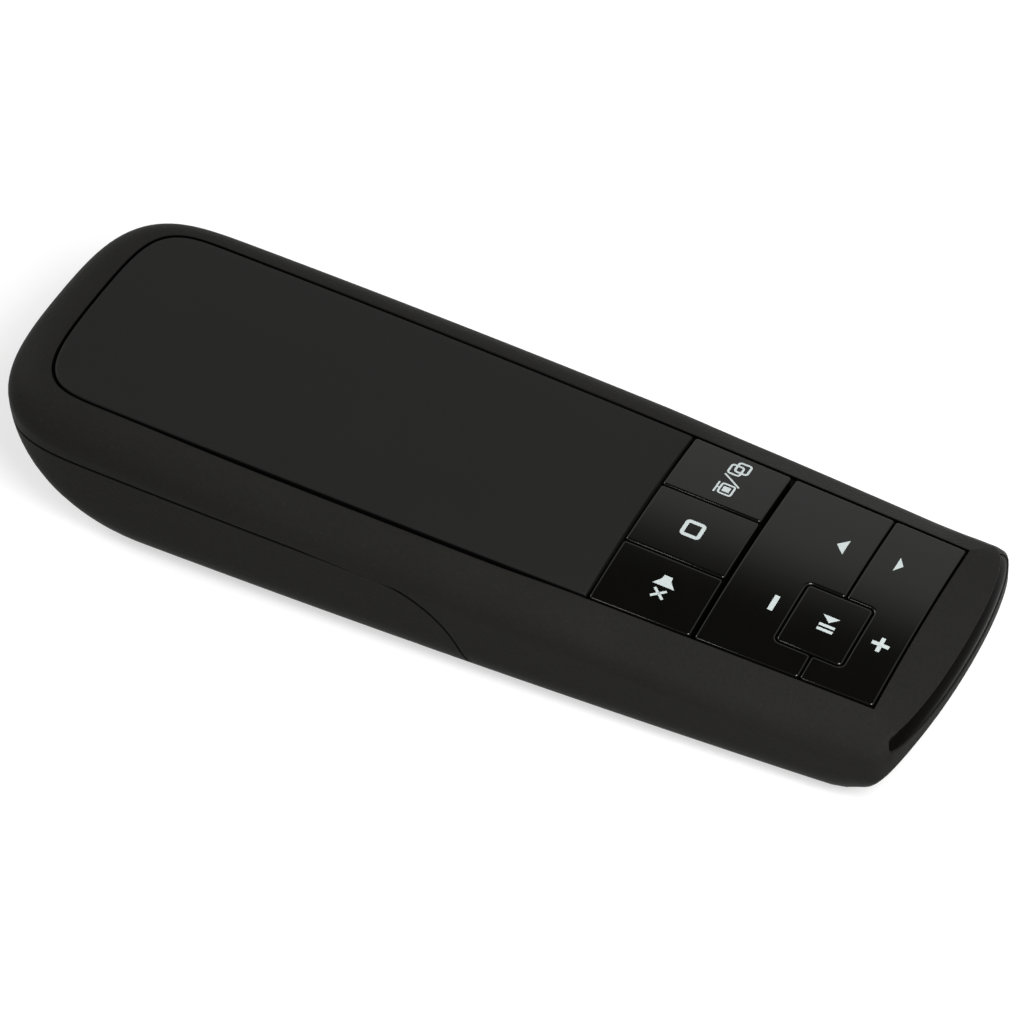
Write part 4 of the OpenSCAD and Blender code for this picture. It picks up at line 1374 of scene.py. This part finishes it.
class Growth:
    """A Geometry Nodes tree with named sizes, grown on a starting mesh into a plain piece."""

    def __init__(self, name, **sizes):
        self.tree = bpy.data.node_groups.new(name, "GeometryNodeTree")
        self.sizes = sizes
        face = self.tree.interface
        face.new_socket("Start", in_out="INPUT", socket_type="NodeSocketGeometry")
        face.new_socket("Piece", in_out="OUTPUT", socket_type="NodeSocketGeometry")
        self.sockets = {}
        for key, value in sizes.items():
            kind = {tuple: "Vector", int: "Int", float: "Float"}[type(value)]
            label = key.replace("_", " ").capitalize()
            self.sockets[key] = face.new_socket(label, in_out="INPUT", socket_type=f"NodeSocket{kind}")
        self.start = self.node("NodeGroupInput")
        self.end = self.node("NodeGroupOutput")

    def size(self, key):
        return Value(self.tree, self.start.outputs[self.sockets[key].name])

    def node(self, kind, inputs=None, **attributes):
        return new_node(self.tree, kind, inputs, **attributes)

    def shape(self, kind, **inputs):
        """The geometry of a node whose sockets are named in lower case."""
        ports = {key.replace("_", " ").title(): value for key, value in inputs.items()}
        return self.node("GeometryNode" + kind, ports).outputs[0]

    def vector(self, x=0.0, y=0.0, z=0.0):
        return self.node("ShaderNodeCombineXYZ", {"X": x, "Y": y, "Z": z}).outputs[0]

    def joined(self, *shapes):
        return self.shape("JoinGeometry", geometry=list(shapes))

    def raised(self, shape, z):
        return self.shape("Transform", geometry=shape, translation=self.vector(z=z))

    def tube(self, path, radius, corners=8):
        ring = self.shape("CurvePrimitiveCircle", resolution=corners, radius=radius)
        return self.shape("CurveToMesh", curve=path, profile_curve=ring, fill_caps=True)

    def coil(self, turns, first, last, height):
        ports = dict(rotations=turns, start_radius=first, end_radius=last, height=height)
        return self.shape("CurveSpiral", resolution=24, **ports)

    def on_points(self, shape):
        """The shape on each starting point, leaning by the tree's tilt."""
        ports = dict(instance=shape, rotation=self.vector(y=self.size("tilt")))
        return self.shape("InstanceOnPoints", points=self.start.outputs["Start"], **ports)

    def grown(self, name, start, shape, material):
        whole = self.shape("RealizeInstances", geometry=shape)
        done = self.shape("SetMaterial", geometry=whole, material=material)
        self.tree.links.new(done, self.end.inputs[0])
        thing = placed(name, start)
        modifier = thing.modifiers.new(self.tree.name, "NODES")
        modifier.node_group = self.tree
        for key, value in self.sizes.items():
            modifier[self.sockets[key].identifier] = value
        graph = bpy.context.evaluated_depsgraph_get()
        mesh = bpy.data.meshes.new_from_object(thing.evaluated_get(graph))
        thing.modifiers.remove(modifier)
        thing.data = mesh
        bpy.data.meshes.remove(start)
        bm = bmesh.new()
        bm.from_mesh(mesh)
        merged(bm)
        close(bm, mesh, 40)
        return thing


def spots(name, points):
    """Mesh of loose points for pieces to grow on."""
    mesh = bpy.data.meshes.new(name)
    mesh.from_pydata([tuple(point) for point in points], [], [])
    return mesh


def screws(name, points, tilt, radius, head_radius, material):
    """Pan head screws with a cross recess and a thread, head down on each point."""
    inside = settings("inside")
    growth = Growth(
        name, radius=radius, length=inside.screw_length, head_radius=head_radius,
        head_height=inside.screw_head, tilt=tilt, turns=9,
    )
    radius, length, head, height = map(growth.size, ("radius", "length", "head_radius", "head_height"))
    core = radius * 0.82
    cap = growth.shape("MeshCylinder", vertices=28, radius=head, depth=height)
    cap = growth.raised(cap, height * 0.5)
    for long, wide, deep in ((1.1, 0.24, 1.1), (0.21, 1.05, 0.94)):
        arm = growth.shape("MeshCube", size=growth.vector(head * long, head * wide, height * deep))
        cut = {"Mesh 1": cap, "Mesh 2": arm}
        cap = growth.node("GeometryNodeMeshBoolean", cut, operation="DIFFERENCE").outputs["Mesh"]
    shank = growth.shape("MeshCylinder", vertices=20, radius=core, depth=length)
    shank = growth.raised(shank, length * 0.5 + height * 0.95)
    thread = growth.tube(growth.coil(growth.size("turns"), core, core, length * 0.86), radius * 0.14, 6)
    thread = growth.raised(thread, height + length * 0.06)
    whole = growth.on_points(growth.joined(cap, shank, thread))
    return growth.grown(name, spots(name, points), whole, material)


def snap_domes(name, points, tilt, material):
    """Pressed metal domes on the board, flat underneath."""
    inside = settings("inside")
    growth = Growth(name, radius=inside.dome_diameter / 2, height=inside.dome_height, tilt=tilt)
    ball = growth.shape("MeshUVSphere", segments=28, rings=14, radius=1.0)
    point = growth.node("GeometryNodeInputPosition").outputs[0]
    axes = growth.node("ShaderNodeSeparateXYZ", {"Vector": point}).outputs
    x, y, z = (Value(growth.tree, axes[axis]) for axis in "XYZ")
    radius, height = growth.size("radius"), growth.size("height")
    spot = growth.vector(x * radius, y * radius, z.at_least(0.0) * height)
    dome = growth.shape("SetPosition", geometry=ball, position=spot)
    return growth.grown(name, spots(name, points), growth.on_points(dome), material)


def plate(name, low, high):
    """Sheet metal plate with eased edges."""
    middle = (Vector(low) + Vector(high)) / 2
    sides = Vector(high) - Vector(low)
    bm = bmesh.new()
    bmesh.ops.create_cube(bm, size=1, matrix=Matrix.Translation(middle) @ Matrix.Diagonal((*sides, 1)))
    bmesh.ops.bevel(bm, geom=bm.edges[:], offset=0.00012, segments=2, affect="EDGES", profile=0.5)
    mesh = bpy.data.meshes.new(name)
    bm.to_mesh(mesh)
    bm.free()
    return mesh


def sprung_contact(name, sheet, foot, way, material):
    """Contact plate with a conical spring wound from the foot towards +x or -x."""
    growth = Growth(
        name, wire_radius=0.00025, length=0.0041, foot_radius=0.0032, tip_radius=0.0022, turns=4.5,
        foot=tuple(foot), turn=(0.0, way * pi / 2, 0.0),
    )
    wound = (growth.size(key) for key in ("turns", "foot_radius", "tip_radius", "length"))
    wire = growth.tube(growth.coil(*wound), growth.size("wire_radius"))
    how = dict(translation=growth.size("foot"), rotation=growth.size("turn"))
    spring = growth.shape("Transform", geometry=wire, **how)
    return growth.grown(name, sheet, growth.joined(growth.start.outputs["Start"], spring), material)


# ---- cells


def bay_ends():
    """Where the faces of the rear and of the front contact lie, in the battery bay."""
    inside = settings("inside")
    front = inside.bay_front - inside.contact_thickness
    return front - inside.cell_length - inside.spring_length, front


def turned(name, profile, middle, way, closed):
    """Solid turned round an axis along x, from points (towards the nub, out) of its profile."""
    bm = bmesh.new()
    x, y, z = middle
    rows = []
    for along, out in profile:
        steps = CELL_SIDES if out else 1
        spokes = [2 * pi * k / steps for k in range(steps)]
        ring = [(x + way * along, y + out * cos(spoke), z + out * sin(spoke)) for spoke in spokes]
        rows.append([bm.verts.new(point) for point in ring])
    for one, two in zip(rows, rows[1:] + (rows[:1] if closed else [])):
        for k in range(CELL_SIDES):
            j = k + 1
            corners = [one[k % len(one)], one[j % len(one)], two[j % len(two)], two[k % len(two)]]
            bm.faces.new(list(dict.fromkeys(corners)))
    return finished(bm, name)


def cell_can(name, middle, way):
    """Steel can with its nub."""
    inside = settings("inside")
    half, radius = inside.cell_length / 2, inside.cell_diameter / 2
    can, neck, nub = radius - 0.0006, half - 0.0010, 0.0019
    profile = [
        (-half, 0), (-half, radius - 0.0010), (-half + 0.0002, can), (neck - 0.0002, can),
        (neck, radius - 0.0010), (neck, nub + 0.0003), (neck + 0.0002, nub),
        (half - 0.0001, nub), (half, nub - 0.0001), (half, 0),
    ]
    return turned(name + "_can", profile, middle, way, closed=False)


def cell_sleeve(name, middle, way):
    """Sleeve shrunk over the can's edges."""
    inside = settings("inside")
    half, radius = inside.cell_length / 2, inside.cell_diameter / 2
    rear, front, inner = -half, half - 0.0009, radius - 0.0008
    profile = [
        (rear + 0.0001, radius - 0.0012), (rear + 0.0001, radius - 0.0004),
        (rear + 0.0004, radius - 0.0001), (rear + 0.0007, radius),
        (front - 0.0007, radius), (front - 0.0003, radius - 0.0002), (front, radius - 0.0006),
        (front, radius - 0.0016), (front - 0.00005, radius - 0.0016), (front - 0.0002, inner),
        (rear + 0.0003, inner), (rear + 0.0003, radius - 0.0012),
    ]
    return turned(name + "_sleeve", profile, middle, way, closed=True)


# ---- operators


class CLICKER_OT_stage(Operator):
    """Sets up the camera, the floor, the world and the lamps"""

    bl_idname = "clicker.stage"
    bl_label = "Stage"

    def execute(self, context):
        studio = settings("studio")
        self.camera(studio)
        self.floor(studio)
        self.world()
        for name, target, way, distance, width, power in LAMPS:
            self.lamp(name, Vector(target), Vector(way).normalized(), distance, width, power)
        context.scene.view_settings.view_transform = "Standard"
        return {"FINISHED"}

    def camera(self, studio):
        bearing, height, roll = studio.azimuth, studio.elevation, studio.roll
        ahead = -Vector((sin(bearing) * cos(height), -cos(bearing) * cos(height), sin(height)))
        level = ahead.cross(Vector((0, 0, 1))).normalized()
        plumb = level.cross(ahead)
        right = level * cos(roll) + plumb * sin(roll)
        up = plumb * cos(roll) - level * sin(roll)
        data = bpy.data.cameras.new("camera")
        data.sensor_width = 36
        data.lens = studio.focal * data.sensor_width / studio.frame_width
        data.clip_start, data.clip_end = 0.01, 50
        pixel = studio.distance / studio.focal
        spot = Vector(studio.aim) - ahead * studio.distance
        spot -= (right * studio.off_right + up * studio.off_up) * pixel
        thing = placed("camera", data)
        turned_to = Matrix((right, up, -ahead)).transposed().to_4x4()
        thing.matrix_world = Matrix.Translation(spot) @ turned_to
        bpy.context.scene.camera = thing

    def floor(self, studio):
        bm = bmesh.new()
        bmesh.ops.create_circle(bm, cap_ends=True, segments=96, radius=3.0)
        bmesh.ops.translate(bm, vec=(0, 0, -studio.floor_depth), verts=bm.verts[:])
        mesh = bpy.data.meshes.new("studio_floor")
        bm.to_mesh(mesh)
        bm.free()
        paint = Finish("studio_floor", studio.floor, 0.9, Specular_IOR_Level=0.0, Emission_Strength=1.0)
        paint.glow_to_the_eye(studio.glow)
        mesh.materials.append(paint.material)
        placed("studio_floor", mesh)

    def world(self):
        """Grey surroundings: darker overhead and on the near side, and near the horizon."""
        world = bpy.data.worlds.new("studio")
        world.use_nodes = True
        tree = world.node_tree
        way = new_node(tree, "ShaderNodeTexCoord").outputs["Generated"]
        axes = new_node(tree, "ShaderNodeSeparateXYZ", {"Vector": way}).outputs
        across, up = Value(tree, axes["Y"]), Value(tree, axes["Z"])
        overhead, above_horizon = up.ramp(0.70, 0.85), up.ramp(0.05, 0.50)
        near_side = (across * -1.0).ramp(0.0, 0.75)
        shade = (0.40 + above_horizon * 0.32) * (1.0 - overhead) * (1.0 - near_side * 0.75) + 0.02
        background = tree.nodes["Background"]
        background.inputs["Strength"].default_value = 1.0
        tree.links.new(grey(tree, shade), background.inputs["Color"])
        bpy.context.scene.world = world

    def lamp(self, name, target, way, distance, width, power):
        light = bpy.data.lights.new(name, "AREA")
        light.shape = "SQUARE"
        light.size = width
        light.energy = power
        thing = placed(name, light)
        thing.location = target + way * distance
        thing.rotation_euler = way.to_track_quat("Z", "Y").to_euler()


class CLICKER_OT_housing(Operator):
    """Builds the upper housing, the battery door and the underside"""

    bl_idname = "clicker.housing"
    bl_label = "Housing"

    def execute(self, context):
        form = Form()
        black = finish(housing_black, "housing")
        dress(upper_housing(form), black, "housing", ["top_shell"])
        dress(battery_door(form), black, "battery_door", ["battery_door"])
        underside = merged_copy("base_shell", "base_shell_smooth")
        dress(underside, finish(underside_black, "housing"), "housing", ["base_shell"])
        return {"FINISHED"}


class CLICKER_OT_panel(Operator):
    """Builds the palm panel"""

    bl_idname = "clicker.panel"
    bl_label = "Palm panel"

    def execute(self, context):
        dress(palm_panel(Form()), finish(panel_satin, "panel"), "housing", ["grip_panel"])
        return {"FINISHED"}


class CLICKER_OT_window(Operator):
    """Builds the smoked front window"""

    bl_idname = "clicker.window"
    bl_label = "Front window"

    def execute(self, context):
        smoked = finish(window_smoked, "window")
        dress(front_window(Form()), smoked, "housing", ["front_window"])
        return {"FINISHED"}


class CLICKER_OT_keys(Operator):
    """Builds the six key caps, each on the body that has its node's name"""

    bl_idname = "clicker.keys"
    bl_label = "Keys"

    def execute(self, context):
        gloss = finish(key_gloss, "key")
        for node, (corners, radii) in cap_plans(Form()).items():
            dress(key_cap(node + "_cap", corners, radii), gloss, node, [node])
        return {"FINISHED"}


class CLICKER_OT_icons(Operator):
    """Prints the icons on the key caps"""

    bl_idname = "clicker.icons"
    bl_label = "Icons"

    def execute(self, context):
        ink = finish(icon_print, "icon")
        for name, node, solids, rings in icons():
            dress(icon_mesh(name, solids, rings), ink, node)
        return {"FINISHED"}


class CLICKER_OT_inside(Operator):
    """Gives the parts under the keys and the receiver their finishes"""

    bl_idname = "clicker.inside"
    bl_label = "Inside parts"

    def execute(self, context):
        for material, nodes in (
            (finish(guide_plastic, "guide"), ("key_guide", "receiver_body")),
            (finish(mat_silicone, "mat"), ("key_mat",)),
            (finish(board_mask, "board"), ("circuit_board",)),
            (finish(nickel_plate, "contact"), ("plus_contact",)),
            (finish(brushed_steel, "steel"), ("pivot_pin", "receiver_plug", "crystal")),
            (finish(chip_package, "chip"), ("radio_chip", "controller_chip")),
            (finish(status_lens, "lens"), ("status_led",)),
        ):
            for node in nodes:
                thing = node_object(node)
                if not thing.material_slots:
                    thing.data.materials.append(None)
                for slot in thing.material_slots:
                    slot.material = material
        return {"FINISHED"}


class CLICKER_OT_screws(Operator):
    """Drives the four housing screws and the four board screws"""

    bl_idname = "clicker.screws"
    bl_label = "Screws"

    def execute(self, context):
        inside = settings("inside")
        steel = finish(brushed_steel, "steel")
        lift = inside.flange_height - inside.screw_head
        rows = (inside.screw_rear, inside.screw_front)
        points = [(x, side * inside.screw_aside, lift) for x in rows for side in (1, -1)]
        made = screws("housing_screws_cross", points, 0.0, 0.001, 0.0018, steel)
        dress(made, steel, "housing", ["housing_screws"])
        under = -inside.board_depth - inside.board_thickness - inside.screw_head
        points = [deck() @ Vector((x, side * y, under)) for x, y in BOARD_SCREWS for side in (1, -1)]
        tilt = settings("body").deck_tilt
        made = screws("board_screws_cross", points, tilt, 0.0008, 0.0014, steel)
        dress(made, steel, "housing", ["board_screws"])
        return {"FINISHED"}


class CLICKER_OT_domes(Operator):
    """Lays a snap dome on the board under each press of a key"""

    bl_idname = "clicker.domes"
    bl_label = "Snap domes"

    def execute(self, context):
        keys, board = settings("keys"), -settings("inside").board_depth
        presses = (*ROW_PRESSES, *BACK_PRESSES, *FORWARD_PRESSES, (keys.play_x, keys.play_y))
        points = [deck() @ Vector((x, y, board)) for x, y in presses]
        steel = finish(brushed_steel, "steel")
        made = snap_domes("snap_domes", points, settings("body").deck_tilt, steel)
        dress(made, steel, "housing", ["dome_switches"])
        return {"FINISHED"}


class CLICKER_OT_contacts(Operator):
    """Builds the bridge at the rear of the bay and the minus contact at its front"""

    bl_idname = "clicker.contacts"
    bl_label = "Contacts"

    def execute(self, context):
        inside = settings("inside")
        nickel = finish(nickel_plate, "contact")
        rear, front = bay_ends()
        back, thick = rear - inside.contact_thickness, inside.contact_thickness
        y, z, half = inside.cell_aside, inside.cell_height, inside.contact_half
        bridge = plate("bridge", (back, -y - half, z - inside.contact_foot), (rear, y + half, z + half))
        foot = (rear + inside.spring_set, y, z)
        made = sprung_contact("bridge_contact_sprung", bridge, foot, 1, nickel)
        dress(made, nickel, "housing", ["bridge_contact"])
        minus = plate("minus", (front, -y - half, z - half), (front + thick, -y + half, z + half))
        foot = (front - inside.spring_set, -y, z)
        made = sprung_contact("minus_contact_sprung", minus, foot, -1, nickel)
        dress(made, nickel, "housing", ["minus_contact"])
        return {"FINISHED"}


class CLICKER_OT_cells(Operator):
    """Builds the two cells, which lie side by side and head to tail"""

    bl_idname = "clicker.cells"
    bl_label = "Cells"

    def execute(self, context):
        inside = settings("inside")
        steel, printed = finish(brushed_steel, "steel"), finish(sleeve_print, "sleeve")
        rear, front = bay_ends()
        y, z, half = inside.cell_aside, inside.cell_height, inside.cell_length / 2
        for node, x, way in (("cell_left", front - half, 1), ("cell_right", rear + half, -1)):
            middle = (x, way * y, z)
            can, sleeve = cell_can(node, middle, way), cell_sleeve(node, middle, way)
            dress(sleeve, printed, "housing", [node])
            dress(can, steel, "housing")
        return {"FINISHED"}


class CLICKER_PT_pieces(Panel):
    """Lists the pieces of the clicker and their settings"""

    bl_idname = "CLICKER_PT_pieces"
    bl_label = "Presentation clicker"
    bl_space_type = "VIEW_3D"
    bl_region_type = "UI"
    bl_category = "Clicker"

    def draw(self, context):
        for operator in OPERATORS:
            self.layout.operator(operator.bl_idname)
        for name, group in GROUPS.items():
            box = self.layout.box()
            box.label(text=group.__doc__)
            for prop in group.__annotations__:
                box.prop(getattr(context.scene, name), prop)


OPERATORS = (
    CLICKER_OT_stage,
    CLICKER_OT_housing,
    CLICKER_OT_panel,
    CLICKER_OT_window,
    CLICKER_OT_keys,
    CLICKER_OT_icons,
    CLICKER_OT_inside,
    CLICKER_OT_screws,
    CLICKER_OT_domes,
    CLICKER_OT_contacts,
    CLICKER_OT_cells,
)


def register():
    for kind in (*GROUPS.values(), *OPERATORS, CLICKER_PT_pieces):
        bpy.utils.register_class(kind)
    for name, group in GROUPS.items():
        setattr(bpy.types.Scene, name, PointerProperty(type=group))


def unregister():
    for name in GROUPS:
        delattr(bpy.types.Scene, name)
    for kind in reversed((*GROUPS.values(), *OPERATORS, CLICKER_PT_pieces)):
        bpy.utils.unregister_class(kind)


def main():
    register()
    for operator in OPERATORS:
        family, name = operator.bl_idname.split(".")
        getattr(getattr(bpy.ops, family), name)()


if __name__ == "__main__":
    main()
